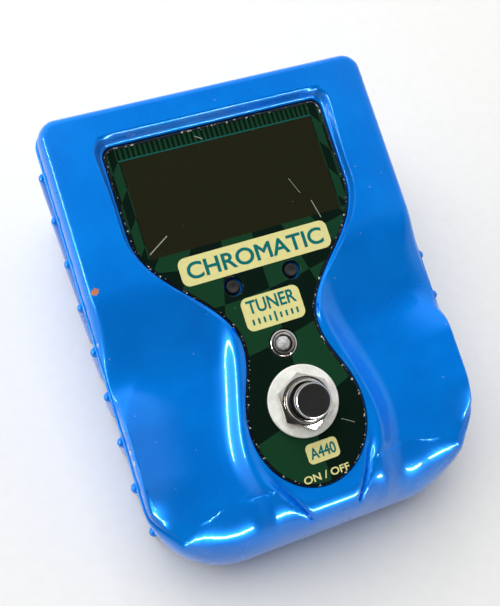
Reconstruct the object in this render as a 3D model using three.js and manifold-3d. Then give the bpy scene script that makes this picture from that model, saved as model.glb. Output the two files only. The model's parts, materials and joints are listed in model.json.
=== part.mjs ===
// Floor tuner pedal: a die-cast box with a display, two menu buttons, a status light and a footswitch.
// Millimetres, +Z up, +Y to the rear. The origin is on the floor under the middle of the pedal.
import * as THREE from 'three';
import { mergeVertices } from 'three/addons/utils/BufferGeometryUtils.js';
import Module from 'manifold-3d';

const wasm = await Module();
wasm.setup();

// ---- clearances ----
const GAP = 0.3; // between two pieces that touch or fit
const CUT = 2; // how far a cutter runs past the face that it cuts

// ---- body ----
const BODY_WIDTH = 100;
const BODY_LENGTH = 131.5;
const WALL = 3.2;
const CORNER_REAR = 7;
const CORNER_FRONT = 24;
const CASE_BOTTOM = 2; // lower edge of the casing above the floor
const RIM_DROP = 3.6; // rim of the skirt below the face plane
const RIM_ROUND = 0.6;
const LEDGE = 0.7; // step between skirt and upper body
const CORNER_LEDGE = 3.9; // the same step at the front corners
const CORNER_WALL_TOP = 22; // height of the upright wall at the front corners
const FRONT_WALL_TOP = 15; // height of the upright wall at the front
const FRONT_ROLL = 16; // depth of the rounded front lip
const TONGUE_ROLL = 10; // the same depth in front of the overlay
const TONGUE_HALF = 6; // half width of the tongue in front of the overlay
const TONGUE_BLEND = 10; // width over which the two depths merge
const SIDE_ROUND = 1.6; // rounding above the ledge: along the fender,
const HOUSING_ROUND = 3.3; // along the display housing,
const WAIST_ROUND = 8; // at the waist,
const CORNER_ROUND = 5; // and at the front corners

// ---- face plane: carries the overlay, display, buttons, light and footswitch ----
const FACE_TILT = THREE.MathUtils.degToRad(8);
const FACE_Z = 44; // height of the face origin
const FACE_FROM_REAR = 60.3; // face origin in front of the rear wall
const PLATEAU = 3.2; // display housing above the face plane
const COLLAR = 1; // ridge round the neck and bulb of the overlay
const COLLAR_REACH = 11;
const DISH = -3.6; // side dishes
const FENDER = 3.8; // raised front corners
const FENDER_BAND = 15; // width over which a dish climbs to its fender
const CEILING = -7; // inside of the casing under the face

// ---- where one form of the face gives way to the next, up the face from the face origin ----
const HOUSING_START = [-14, 8]; // dishes rise into the display housing
const FENDER_FRONT = [-60, -42]; // fenders rise behind the front lip
const FENDER_REAR = [-28, -12]; // and fall towards the waist
const WAIST_FRONT = [-26, -12];
const WAIST_REAR = [-6, 10];
const MARGIN_GROWTH = [30, 48]; // slope beside the overlay gets wider up the window
const MARGIN_START = 0.4; // that slope, out from the overlay's edge
const MARGIN_NEAR = 1.4;
const MARGIN_FAR = 2.6;
const COLLAR_CREST = 1.5; // the ridge's crest, out from the overlay's edge
const CORNER_TURN = [0.1, 0.6]; // how far the wall faces forward: at the corners
const FRONT_TURN = [0.6, 1]; // and at the front

// ---- overlay ----
const OVERLAY_THICK = 2;
const WINDOW_HALF = 33;
const WINDOW_TOP = 48.3;
const WINDOW_WIDEST = 23;
const WINDOW_CORNER = 3;
const NECK_HALF = 11.2;
const NECK_V = -15.7;
const BULB_HALF = 16.8;
const BULB_V = -39.5;
const BULB_DEPTH = 19.3;
const WINDOW_EASE = 17; // how long the outline keeps its direction below the window,
const NECK_REAR_EASE = 14.7; // behind the neck,
const NECK_FRONT_EASE = 8.3; // in front of it
const BULB_EASE = 10; // and at the bulb

// ---- display ----
const LCD_V = 29.5; // middle of the display
const LCD_GLASS = [54, 29, 1.8];
const LCD_RIM = 3; // width of the display frame
const LCD_DEPTH = 4; // depth of the display frame
const BACKLIGHT_THICK = 3;
const ZEBRA_WIDTH = 1.6;
const ZEBRA_SHORT = 4; // how much shorter than the glass
const BOARD_THICK = 1.6;
const BOARD_DROP = 11.3; // top of the display board below the face
const BOARD_FRONT_V = -22;

// ---- menu buttons and light ----
const BUTTON_U = 8.8;
const BUTTON_V = 1.2;
const BUTTON_R = 1.95;
const BUTTON_FLANGE = 0.8; // what keeps a button in its hole
const BUTTON_WINDOW = 0.75; // free ring round a button in the overlay
const BUTTON_RECESS = 0.6;
const BUTTON_TRAVEL = 0.5;
const TACT_SIZE = [6, 6, 2.4];
const LED_V = -18.1;
const LED_R = 2.2;
const LED_HEIGHT = 0.9;
const LED_STUB = 4; // how far it goes down under the overlay
const LED_FLANGE = 0.4;
const LED_LEG = 0.5;
const LED_PITCH = 2.54; // between its legs
const LED_RING_R = 3.8;
const LED_RING_HEIGHT = 0.35;

// ---- footswitch ----
const SWITCH_V = -35;
const BUSH_R = 5.9;
const BUSH_WALL = 0.7;
const BUSH_TOP = 7;
const CAP_TOP = 12.1;
const CAP_BEVEL = 0.6;
const SWITCH_TRAVEL = 3;
const WASHER_BAND = 4.25; // width of the flat ring
const WASHER_THICK = 1;
const NUT_WALL = 0.8; // thinnest wall of the hexagonal nuts
const NUT_THICK = 3;
const SWITCH_BODY = [17, 17, 14];
const LUG_SIZE = [2.4, 0.8, 5];
const LUG_PITCH = 4.8;

// ---- jacks and power inlet, on the rear wall ----
const JACK_X = 28;
const JACK_Z = 24;
const JACK_BORE_R = 3.4;
const JACK_THREAD_R = 4.6;
const JACK_BODY = [15, 24, 14];
const JACK_NUT_R = 7;
const JACK_NUT_THICK = 1.9;
const JACK_WASHER_R = 7.6;
const JACK_WASHER_THICK = 0.6;
const JACK_STANDOUT = 3.4; // threaded end past the rear wall
const DC_BODY = [10, 13, 12];
const DC_BORE_R = 2.9;
const DC_THREAD_R = 4;
const DC_PIN_R = 1;
const DC_NUT_R = 5.6;
const DC_NUT_THICK = 1.8;
const DC_STANDOUT = 2.4;
const DC_DEPTH = 11; // depth of its socket
const DC_PIN_RECESS = 1.5;
const SOCKET_END = 2; // how far a jack's bore runs past its body

// ---- base ----
const PLATE_THICK = 1.5;
const SCREW_R = 1.5;
const SCREW_HEAD_R = 2.8;
const SCREW_HEAD_THICK = 1;
const SCREW_LENGTH = 9;
const SCREW_SLOT = [2.6, 0.6, 0.5]; // length, width and depth of the cross recess
const BOSS_R = 3.6;
const BOSS_INSET = 8.5;
const MIDDLE_SCREW_V = 12; // middle pair of screws, behind the face origin
const FOOT_R = 6;
const FOOT_INSET = 17;
const FRONT_FOOT_INSET = 10;
const FRONT_FOOT_IN = 4; // in from the middle of the front corner's arc
const FOOT_THICK = 2;
const FOOT_CHAMFER = 0.6;

// ---- battery bay ----
const BATTERY = [26.5, 48.5, 17.5];
const BATTERY_X = 28;
const BATTERY_SETBACK = 1.5; // rear of the battery in front of the face origin
const BAY_MARGIN = 1.5;
const BAY_SHORT = 2; // top of the bay below the top of the battery
const SNAP_THICK = 4;
const SNAP_INSET = [2, 1]; // above the battery's lower side and below its top
const PAD_THICK = 2;
const PAD_MARGIN = [2, 4]; // inside the battery's outline
const BAY_WALL = 1.6;
const HINGE_R = 0.9;
const HINGE_INSET = 3;
const KNUCKLE_WALL = 0.8;
const KNUCKLE_LENGTH = 5;

// ---- main board ----
const MAIN_BOARD = [72, 44];
const MAIN_BOARD_Z = 8;
const MAIN_BOARD_SETBACK = 4; // in front of the rear wall
const STANDOFF_R = 2.6;
const STANDOFF_INSET = 4.5;
const CHIP = [14, 14, 1.6];
const CHIP_PLACE = [12, -8]; // from the middle of the board
const RIBBON_BULGE = 5; // how far the flat cable bows out
const RIBBON_INSET = 5; // from the front edge of the board
const RIBBON = [18, 0.8];
const RIBBON_X = -2; // its right edge
const RIBBON_SHORT = 0.4; // clear of the sloping display board

// ---- side ribs ----
const RIB_COUNT = 9; // on each side
const RIB_PITCH = 12.65;
const RIB_FIRST = 46.6; // rearmost rib, behind the face origin
const RIB_R = 1.5;

// ---- places worked out from the sizes above ----
const HALF_WIDTH = BODY_WIDTH / 2;
const FRONT_Y = -(BODY_LENGTH + JACK_STANDOUT) / 2;
const REAR_Y = FRONT_Y + BODY_LENGTH;
const FACE_Y = REAR_Y - FACE_FROM_REAR;
const PLATE_Z = CASE_BOTTOM + GAP;
const NUT_WRENCH = 2 * (BUSH_R + GAP + NUT_WALL); // across flats
const WASHER_R = BUSH_R + WASHER_BAND;
const BOARD_TOP = -BOARD_DROP;
const BATTERY_REAR_Y = FACE_Y - BATTERY_SETBACK;
const BATTERY_Z = PLATE_Z + PLATE_THICK + GAP + PAD_THICK;
const MAIN_BOARD_Y = REAR_Y - WALL - MAIN_BOARD[1] / 2 - MAIN_BOARD_SETBACK;

const { smoothstep, lerp, clamp } = THREE.MathUtils;
const face = new THREE.Matrix4().makeRotationX(FACE_TILT).setPosition(0, FACE_Y, FACE_Z);

// Height of the face plane above the floor at y.
function planeZ(y) {
  return FACE_Z + (y - FACE_Y) * Math.tan(FACE_TILT);
}

// ---- solids: closed meshes in and out of the boolean library ----
function toSolid(geometry) {
  const bare = geometry.clone();
  bare.deleteAttribute('normal');
  bare.deleteAttribute('uv');
  const merged = mergeVertices(bare, 1e-4);
  const vertProperties = new Float32Array(merged.attributes.position.array);
  const triVerts = new Uint32Array(merged.index.array);
  return new wasm.Manifold(new wasm.Mesh({ numProp: 3, vertProperties, triVerts }));
}

function toGeometry(solid) {
  const mesh = solid.getMesh();
  const geometry = new THREE.BufferGeometry();
  geometry.setAttribute('position', new THREE.BufferAttribute(mesh.vertProperties, 3));
  geometry.setIndex(new THREE.BufferAttribute(mesh.triVerts, 1));
  geometry.computeVertexNormals();
  return geometry;
}

function cut(geometry, ...tools) {
  return toGeometry(tools.reduce((solid, tool) => solid.subtract(toSolid(tool)), toSolid(geometry)));
}

function join(geometry, ...others) {
  return toGeometry(others.reduce((solid, other) => solid.add(toSolid(other)), toSolid(geometry)));
}

// ---- plain shapes ----
// A box from its middle in x and y and its lower and upper z.
function block([width, depth], low, high, x = 0, y = 0) {
  return new THREE.BoxGeometry(width, depth, high - low).translate(x, y, (low + high) / 2);
}

// A round bar along z.
function rod(radius, low, high, x = 0, y = 0, sides = 32) {
  const bar = new THREE.CylinderGeometry(radius, radius, high - low, sides).rotateX(Math.PI / 2);
  return bar.translate(x, y, (low + high) / 2);
}

// A round bar along y, from the front y to the rear y.
function barY(radius, front, rear, x, z, sides = 32) {
  const bar = new THREE.CylinderGeometry(radius, radius, rear - front, sides);
  return bar.translate(x, (front + rear) / 2, z);
}

// A hexagonal bar along z with the given width across flats.
function hexRod(wrench, low, high) {
  return rod(wrench / Math.sqrt(3), low, high, 0, 0, 6);
}

// A shape extruded upwards from low to high.
function plate(shape, low, high, curveSegments = 12) {
  const options = { depth: high - low, bevelEnabled: false, curveSegments };
  return new THREE.ExtrudeGeometry(shape, options).translate(0, 0, low);
}

function ring(outer, inner, low, high, sides = 32) {
  return cut(rod(outer, low, high, 0, 0, sides), rod(inner, low - CUT, high + CUT, 0, 0, sides));
}

// ---- outlines ----
// Plan of the skirt, grown by offset; counter-clockwise from the middle of the rear wall.
function skirtOutline(offset = 0) {
  const x = HALF_WIDTH + offset;
  const front = FRONT_Y - offset;
  const rear = REAR_Y + offset;
  const rearR = Math.max(CORNER_REAR + offset, 1);
  const frontR = CORNER_FRONT + offset;
  const outline = new THREE.Shape();
  outline.moveTo(0, rear);
  outline.lineTo(-x + rearR, rear);
  outline.absarc(-x + rearR, rear - rearR, rearR, Math.PI / 2, Math.PI, false);
  outline.lineTo(-x, front + frontR);
  outline.absarc(-x + frontR, front + frontR, frontR, Math.PI, 1.5 * Math.PI, false);
  outline.lineTo(x - frontR, front);
  outline.absarc(x - frontR, front + frontR, frontR, 1.5 * Math.PI, 2 * Math.PI, false);
  outline.lineTo(x, rear - rearR);
  outline.absarc(x - rearR, rear - rearR, rearR, 0, Math.PI / 2, false);
  outline.lineTo(0, rear);
  return outline;
}

// Outline of the overlay on the face, grown by offset: a window, a neck and a round bulb.
function overlayOutline(offset = 0) {
  const side = WINDOW_HALF + offset;
  const top = WINDOW_TOP + offset;
  const neck = NECK_HALF + offset;
  const bulb = BULB_HALF + offset;
  const corner = WINDOW_CORNER + offset;
  const outline = new THREE.Shape();
  outline.moveTo(0, top);
  outline.lineTo(-side + corner, top);
  outline.absarc(-side + corner, top - corner, corner, Math.PI / 2, Math.PI, false);
  outline.lineTo(-side, WINDOW_WIDEST);
  const widest = WINDOW_WIDEST - WINDOW_EASE;
  const behind = NECK_V + NECK_REAR_EASE;
  const ahead = NECK_V - NECK_FRONT_EASE;
  const swell = BULB_V + BULB_EASE;
  outline.bezierCurveTo(-side, widest, -neck, behind, -neck, NECK_V);
  outline.bezierCurveTo(-neck, ahead, -bulb, swell, -bulb, BULB_V);
  outline.absellipse(0, BULB_V, bulb, BULB_DEPTH + offset, Math.PI, 2 * Math.PI, false, 0);
  outline.bezierCurveTo(bulb, swell, neck, ahead, neck, NECK_V);
  outline.bezierCurveTo(neck, behind, side, widest, side, WINDOW_WIDEST);
  outline.lineTo(side, top - corner);
  outline.absarc(side - corner, top - corner, corner, 0, Math.PI / 2, false);
  outline.lineTo(0, top);
  return outline;
}

// ---- casing surface ----
// Points along the left half of an outline, from its rear middle to its front middle.
function halfPath(outline, count = 400) {
  const path = [];
  for (let i = 0; i <= count; i += 1) {
    path.push(outline.getPointAt((0.5 * i) / count));
  }
  return path;
}

// Where the path first comes down to y, as a fraction of its length.
function fractionAt(path, y) {
  return Math.max(path.findIndex((point) => point.y <= y), 0) / (path.length - 1);
}

// Skirt points and overlay points that face each other across the upper body.
// Each row: place on the skirt, place on the overlay, and how many stations lead up to it.
const STATION_PAIRS = [
  [FACE_FROM_REAR - 0.02, WINDOW_TOP - 0.02, 3],
  [FACE_FROM_REAR - CORNER_REAR, WINDOW_TOP - WINDOW_CORNER, 4],
  [22, 22, 3],
  [1, 0, 4],
  [-14.5, -14.5, 4],
  [-34, -34, 4],
  [FRONT_Y + CORNER_FRONT - FACE_Y, -38, 2],
  [FRONT_Y + 0.05 - FACE_Y, -49, 8],
];
const FRONT_STATIONS = 6;

function halfStations() {
  const skirt = skirtOutline();
  const overlay = overlayOutline();
  const skirtPath = halfPath(skirt);
  const overlayPath = halfPath(overlay);
  const keys = [[0, 0, 0]];
  for (const [skirtY, overlayV, count] of STATION_PAIRS) {
    keys.push([fractionAt(skirtPath, FACE_Y + skirtY), fractionAt(overlayPath, overlayV), count]);
  }
  keys.push([1, 1, FRONT_STATIONS]);
  const stations = [];
  for (let k = 1; k < keys.length; k += 1) {
    const count = keys[k][2];
    for (let i = 0; i < count; i += 1) {
      const skirtAt = lerp(keys[k - 1][0], keys[k][0], i / count) / 2;
      const overlayAt = lerp(keys[k - 1][1], keys[k][1], i / count) / 2;
      const tangent = skirt.getTangentAt(skirtAt);
      const uv = overlay.getPointAt(overlayAt);
      const inner = new THREE.Vector3(uv.x, uv.y, 0).applyMatrix4(face);
      const inward = new THREE.Vector2(-tangent.y, tangent.x);
      stations.push({ out: skirt.getPointAt(skirtAt), inward, inner });
    }
  }
  return stations;
}

// All stations round the body: the left half and its mirror image.
function allStations() {
  const left = halfStations();
  const middle = { out: new THREE.Vector2(0, FRONT_Y), inward: new THREE.Vector2(0, 1) };
  middle.inner = new THREE.Vector3(0, BULB_V - BULB_DEPTH, 0).applyMatrix4(face);
  const right = left.slice(1).reverse().map(({ out, inward, inner }) => ({
    out: new THREE.Vector2(-out.x, out.y),
    inward: new THREE.Vector2(-inward.x, inward.y),
    inner: new THREE.Vector3(-inner.x, inner.y, inner.z),
  }));
  return [...left, middle, ...right];
}

const overlayEdge = overlayOutline().getSpacedPoints(240);

function overlayDistance(x, v) {
  return Math.min(...overlayEdge.map((point) => Math.hypot(point.x - x, point.y - v)));
}

// Height of the upper body above the face plane: plateau, collar, dishes and fenders.
function faceHeight(x, y) {
  const v = (y - FACE_Y) / Math.cos(FACE_TILT);
  const side = HALF_WIDTH - Math.abs(x);
  const away = overlayDistance(x, v);
  const housing = smoothstep(v, ...HOUSING_START);
  const alongFender = smoothstep(v, ...FENDER_FRONT) * (1 - smoothstep(v, ...FENDER_REAR));
  const fender = (1 - smoothstep(side, 1, FENDER_BAND)) * alongFender;
  const dish = lerp(DISH, FENDER, fender);
  const low = lerp(dish, PLATEAU, housing);
  const ridge = Math.max(lerp(COLLAR, PLATEAU, housing), low);
  const height = lerp(ridge, low, smoothstep(away, COLLAR_CREST, COLLAR_REACH));
  const margin = lerp(MARGIN_NEAR, MARGIN_FAR, smoothstep(v, ...MARGIN_GROWTH));
  return lerp(GAP, height, smoothstep(away, MARGIN_START, margin));
}

// Sizes of the edge at one station: ledge, rounding, and heights of the wall, crease and crest.
function edgeAt({ out, inward }) {
  const forward = inward.y;
  const v = out.y - FACE_Y;
  const corner = smoothstep(forward, ...CORNER_TURN);
  const ledge = lerp(LEDGE, CORNER_LEDGE, corner);
  const waist = smoothstep(v, ...WAIST_FRONT) * (1 - smoothstep(v, ...WAIST_REAR));
  const side = lerp(lerp(SIDE_ROUND, HOUSING_ROUND, smoothstep(v, ...WAIST_REAR)), WAIST_ROUND, waist);
  const round = lerp(side, CORNER_ROUND, corner);
  const front = smoothstep(forward, ...FRONT_TURN);
  const creaseZ = planeZ(out.y + inward.y * ledge) - RIM_DROP;
  const wallZ = lerp(creaseZ - RIM_ROUND, CORNER_WALL_TOP, corner);
  const besideTongue = smoothstep(Math.abs(out.x), TONGUE_HALF, TONGUE_HALF + TONGUE_BLEND);
  const roll = lerp(TONGUE_ROLL, FRONT_ROLL, besideTongue);
  const width = lerp(ledge + round, roll, front);
  return { ledge, round, front, creaseZ, wallZ, roll, width };
}

// A quarter round: 0 at the edge, 1 at the full width.
function quarter(part) {
  return Math.sqrt(1 - (1 - clamp(part, 0, 1)) ** 2);
}

function edgePoint(station, part, inset = 0) {
  const edge = edgeAt(station);
  const e = part * edge.width;
  const crestX = station.out.x + station.inward.x * edge.width;
  const crestY = station.out.y + station.inward.y * edge.width;
  const crestZ = planeZ(crestY) + faceHeight(crestX, crestY);
  const lower = edge.wallZ + (edge.creaseZ - edge.wallZ) * quarter(e / edge.ledge);
  const upper = edge.creaseZ + (crestZ - edge.creaseZ) * quarter((e - edge.ledge) / edge.round);
  const sideZ = e < edge.ledge ? lower : upper;
  const frontZ = lerp(FRONT_WALL_TOP, crestZ, quarter(e / edge.roll));
  const x = station.out.x + station.inward.x * (e + inset);
  const y = station.out.y + station.inward.y * (e + inset);
  return new THREE.Vector3(x, y, lerp(sideZ, frontZ, edge.front));
}

// Joins rings of equal length into a closed solid with flat caps.
function ringSolid(rings) {
  const count = rings[0].length;
  const positions = rings.flat().flatMap((point) => [point.x, point.y, point.z]);
  const index = [];
  for (let r = 0; r + 1 < rings.length; r += 1) {
    for (let i = 0; i < count; i += 1) {
      const a = r * count + i;
      const b = r * count + ((i + 1) % count);
      index.push(a, b, a + count, b, b + count, a + count);
    }
  }
  const flat = (ringPoints) => ringPoints.map((point) => new THREE.Vector2(point.x, point.y));
  const last = (rings.length - 1) * count;
  for (const [a, b, c] of THREE.ShapeUtils.triangulateShape(flat(rings[0]), [])) {
    index.push(a, c, b);
  }
  for (const [a, b, c] of THREE.ShapeUtils.triangulateShape(flat(rings.at(-1)), [])) {
    index.push(last + a, last + b, last + c);
  }
  const geometry = new THREE.BufferGeometry();
  geometry.setAttribute('position', new THREE.BufferAttribute(new Float32Array(positions), 3));
  geometry.setIndex(index);
  return geometry;
}

const EDGE_PARTS = [0, 0.08, 0.25, 0.5, 1];
const INNER_PARTS = [0.25, 0.5, 0.75, 0.9, 1];

function casingOutside(stations) {
  const rings = [stations.map(({ out }) => new THREE.Vector3(out.x, out.y, CASE_BOTTOM))];
  for (const part of EDGE_PARTS) {
    rings.push(stations.map((station) => edgePoint(station, part)));
  }
  const crest = rings.at(-1);
  for (const part of INNER_PARTS) {
    rings.push(crest.map((from, i) => {
      const point = from.clone().lerp(stations[i].inner, part);
      point.z = planeZ(point.y) + faceHeight(point.x, point.y);
      return point;
    }));
  }
  return ringSolid(rings);
}

// The hollow inside the casing, one wall in from the outside and level under the face.
function casingHollow(stations) {
  const ceiling = (point) => Math.min(point.z - WALL, planeZ(point.y) + CEILING);
  const wall = stations.map(({ out, inward }) => out.clone().addScaledVector(inward, WALL));
  const rings = [wall.map((point) => new THREE.Vector3(point.x, point.y, CASE_BOTTOM - CUT))];
  for (const part of [0, 0.2, 0.65, 1]) {
    rings.push(stations.map((station) => {
      const point = edgePoint(station, part, WALL);
      point.z = ceiling(point);
      return point;
    }));
  }
  rings.push(rings.at(-1).map((from, i) => {
    const point = from.clone().lerp(stations[i].inner, 0.5);
    point.z = planeZ(point.y) + CEILING;
    return point;
  }));
  return ringSolid(rings);
}

// ---- fastening places ----
const sideX = HALF_WIDTH - BOSS_INSET;
const cornerReach = (CORNER_FRONT - BOSS_INSET) / Math.SQRT2;
const SCREW_PLACES = [-1, 1].flatMap((side) => [
  [side * sideX, REAR_Y - BOSS_INSET],
  [side * sideX, FACE_Y + MIDDLE_SCREW_V],
  [side * (HALF_WIDTH - CORNER_FRONT + cornerReach), FRONT_Y + CORNER_FRONT - cornerReach],
]);
const FOOT_PLACES = [-1, 1].flatMap((side) => [
  [side * (HALF_WIDTH - FOOT_INSET), REAR_Y - FOOT_INSET],
  [side * (HALF_WIDTH - CORNER_FRONT - FRONT_FOOT_IN), FRONT_Y + FRONT_FOOT_INSET],
]);

function ribPlaces() {
  const outline = halfPath(skirtOutline(), 600);
  const places = [];
  for (let i = 0; i < RIB_COUNT; i += 1) {
    const y = FACE_Y + RIB_FIRST - i * RIB_PITCH;
    const point = outline.find((candidate) => candidate.x < -HALF_WIDTH / 2 && candidate.y <= y);
    places.push([point.x, point.y], [-point.x, point.y]);
  }
  return places;
}

function rib([x, y]) {
  const ledge = Math.abs(x) < HALF_WIDTH - 0.5 ? CORNER_WALL_TOP : planeZ(y) - RIM_DROP - RIM_ROUND;
  const top = ledge - RIB_R;
  const post = rod(RIB_R, CASE_BOTTOM, top, x, y, 8);
  return join(post, new THREE.SphereGeometry(RIB_R, 8, 4).rotateX(Math.PI / 2).translate(x, y, top));
}

// ---- top casing ----
const LCD_OUTER = LCD_GLASS.slice(0, 2).map((side) => side + 2 * (LCD_RIM + GAP));

function topCasing() {
  const stations = allStations();
  const bosses = SCREW_PLACES.map(([x, y]) => {
    return rod(BOSS_R, PLATE_Z + PLATE_THICK + GAP, planeZ(y) + CEILING + 1, x, y, 20);
  });
  const boreTop = PLATE_Z + SCREW_LENGTH + CUT;
  const bores = SCREW_PLACES.map(([x, y]) => rod(SCREW_R + GAP, 0, boreTop, x, y, 16));
  const shell = cut(casingOutside(stations), casingHollow(stations));
  const body = join(shell, ...bosses, ...ribPlaces().map(rib));
  const pocket = plate(overlayOutline(GAP), -OVERLAY_THICK - GAP, 20, 8);
  const through = [CEILING - CUT, 0];
  const faceCuts = [
    pocket,
    block(LCD_OUTER.map((side) => side + 2 * GAP), ...through, 0, LCD_V),
    rod(BUTTON_R + GAP, ...through, -BUTTON_U, BUTTON_V, 20),
    rod(BUTTON_R + GAP, ...through, BUTTON_U, BUTTON_V, 20),
    rod(LED_RING_R + GAP, ...through, 0, LED_V, 24),
    rod(BUSH_R + GAP, ...through, 0, SWITCH_V, 32),
  ].map((tool) => tool.applyMatrix4(face));
  const wallCuts = [-JACK_X, JACK_X].map((x) => {
    return barY(JACK_THREAD_R + GAP, REAR_Y - WALL - CUT, REAR_Y + CUT, x, JACK_Z);
  });
  wallCuts.push(barY(DC_THREAD_R + GAP, REAR_Y - WALL - CUT, REAR_Y + CUT, 0, JACK_Z));
  return cut(body, ...faceCuts, ...wallCuts, ...bores);
}

// ---- face pieces, in the frame of the face: x across, y up the face, z out of it ----
function overlayPanel() {
  const through = [-OVERLAY_THICK - CUT, CUT];
  return cut(
    plate(overlayOutline(), -OVERLAY_THICK, 0, 8),
    rod(BUTTON_R + BUTTON_WINDOW, ...through, -BUTTON_U, BUTTON_V, 20),
    rod(BUTTON_R + BUTTON_WINDOW, ...through, BUTTON_U, BUTTON_V, 20),
    rod(LED_RING_R + GAP, ...through, 0, LED_V, 24),
    rod(BUSH_R + GAP, ...through, 0, SWITCH_V, 32),
  );
}

const frameTop = -OVERLAY_THICK - 2 * GAP;
const glassTop = frameTop - GAP;
const glassBottom = glassTop - LCD_GLASS[2];

function lcdFrame() {
  const outer = block(LCD_OUTER, frameTop - LCD_DEPTH, frameTop, 0, LCD_V);
  const opening = LCD_GLASS.slice(0, 2).map((side) => side + 2 * GAP);
  return cut(outer, block(opening, frameTop - LCD_DEPTH - CUT, frameTop + CUT, 0, LCD_V));
}

function lcdGlass() {
  return block(LCD_GLASS, glassBottom, glassTop, 0, LCD_V);
}

function backlight() {
  const depth = LCD_GLASS[1] - 2 * (ZEBRA_WIDTH + 2 * GAP);
  return block([LCD_GLASS[0], depth], glassBottom - GAP - BACKLIGHT_THICK, glassBottom - GAP, 0, LCD_V);
}

function zebraStrip(side) {
  const v = LCD_V + side * (LCD_GLASS[1] - ZEBRA_WIDTH) / 2;
  return block([LCD_GLASS[0] - ZEBRA_SHORT, ZEBRA_WIDTH], BOARD_TOP + GAP, glassBottom - GAP, 0, v);
}

function displayBoard() {
  const rear = LCD_V + LCD_OUTER[1] / 2;
  const size = [LCD_OUTER[0], rear - BOARD_FRONT_V];
  return block(size, BOARD_TOP - BOARD_THICK, BOARD_TOP, 0, (rear + BOARD_FRONT_V) / 2);
}

function tactSwitch(side) {
  const low = BOARD_TOP + GAP;
  return block(TACT_SIZE, low, low + TACT_SIZE[2], side * BUTTON_U, BUTTON_V);
}

function menuButton(side) {
  const low = BOARD_TOP + GAP + TACT_SIZE[2] + BUTTON_TRAVEL + GAP;
  const flange = rod(BUTTON_R + BUTTON_FLANGE, low, CEILING - GAP, side * BUTTON_U, BUTTON_V, 20);
  return join(rod(BUTTON_R, low, -BUTTON_RECESS, side * BUTTON_U, BUTTON_V, 20), flange);
}

function statusLed() {
  const low = -OVERLAY_THICK - LED_STUB;
  const profile = [[0, low], [LED_R + LED_FLANGE, low], [LED_R + LED_FLANGE, low + 1], [LED_R, low + 1]];
  for (let i = 0; i <= 6; i += 1) {
    const angle = (i / 6) * (Math.PI / 2);
    profile.push([LED_R * Math.cos(angle), LED_HEIGHT - LED_R * (1 - Math.sin(angle))]);
  }
  profile[profile.length - 1][0] = 0;
  const points = profile.map(([r, h]) => new THREE.Vector2(r, h));
  const dome = new THREE.LatheGeometry(points, 20).rotateX(Math.PI / 2).translate(0, LED_V, 0);
  const legs = [-1, 1].map((side) => {
    return block([LED_LEG, LED_LEG], BOARD_TOP + GAP, low + LED_LEG, (side * LED_PITCH) / 2, LED_V);
  });
  return join(dome, ...legs);
}

function ledRing() {
  return ring(LED_RING_R, LED_R + GAP, -OVERLAY_THICK, LED_RING_HEIGHT, 24).translate(0, LED_V, 0);
}

// ---- footswitch, in the frame of the face ----
const lowerNutTop = CEILING - GAP;
const bodyTop = lowerNutTop - NUT_THICK - GAP;
const bodyBottom = bodyTop - SWITCH_BODY[2];
const washerTop = GAP + WASHER_THICK;

function switchBush() {
  return ring(BUSH_R, BUSH_R - BUSH_WALL, bodyTop + GAP, BUSH_TOP, 32).translate(0, SWITCH_V, 0);
}

function switchCap() {
  const radius = BUSH_R - BUSH_WALL - GAP;
  const low = bodyTop + GAP + SWITCH_TRAVEL + GAP;
  const crown = [[radius, CAP_TOP - CAP_BEVEL], [radius - CAP_BEVEL, CAP_TOP], [0, CAP_TOP]];
  const points = [[0, low], [radius, low], ...crown].map(([r, h]) => new THREE.Vector2(r, h));
  return new THREE.LatheGeometry(points, 32).rotateX(Math.PI / 2).translate(0, SWITCH_V, 0);
}

function switchWasher() {
  return ring(WASHER_R, BUSH_R + GAP, GAP, washerTop, 40).translate(0, SWITCH_V, 0);
}

function switchNut(low) {
  const bore = rod(BUSH_R + GAP, low - CUT, low + NUT_THICK + CUT);
  return cut(hexRod(NUT_WRENCH, low, low + NUT_THICK), bore).translate(0, SWITCH_V, 0);
}

function switchBody() {
  return block(SWITCH_BODY, bodyBottom, bodyTop, 0, SWITCH_V);
}

function switchLug(place) {
  return block(LUG_SIZE, bodyBottom - GAP - LUG_SIZE[2], bodyBottom - GAP, 0, SWITCH_V + place * LUG_PITCH);
}

// ---- jacks and power inlet, in the frame of the pedal ----
const innerWallY = REAR_Y - WALL - GAP;

function socket(size, x, threadR, end, boreR, depth) {
  const body = new THREE.BoxGeometry(...size).translate(x, innerWallY - size[1] / 2, JACK_Z);
  const sleeve = barY(threadR, innerWallY - 1, end, x, JACK_Z);
  return cut(join(body, sleeve), barY(boreR, end - depth, end + CUT, x, JACK_Z));
}

function jackBody(x) {
  return socket(JACK_BODY, x, JACK_THREAD_R, REAR_Y + JACK_STANDOUT, JACK_BORE_R, JACK_BODY[1] + SOCKET_END);
}

function wallRing(outer, inner, front, thick, x, sides) {
  const bore = barY(inner, front - 1, front + thick + 1, x, JACK_Z);
  return cut(barY(outer, front, front + thick, x, JACK_Z, sides), bore);
}

function dcInletBody() {
  const end = REAR_Y + DC_STANDOUT;
  const shell = socket(DC_BODY, 0, DC_THREAD_R, end, DC_BORE_R, DC_DEPTH);
  return join(shell, barY(DC_PIN_R, end - DC_DEPTH - 1, end - DC_PIN_RECESS, 0, JACK_Z, 12));
}

// ---- battery bay ----
const bayFrontY = BATTERY_REAR_Y - BATTERY[1] - BAY_MARGIN;
const bayRearY = BATTERY_REAR_Y + SNAP_THICK + BAY_MARGIN;
const BAY = [BATTERY[0] + 2 * BAY_MARGIN, bayRearY - bayFrontY];
const bayY = (bayFrontY + bayRearY) / 2;
const plateTop = PLATE_Z + PLATE_THICK;
const hingeY = bayRearY - HINGE_INSET;
const hingeZ = plateTop + HINGE_R;
const KNUCKLE_R = HINGE_R + GAP + KNUCKLE_WALL;

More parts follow.
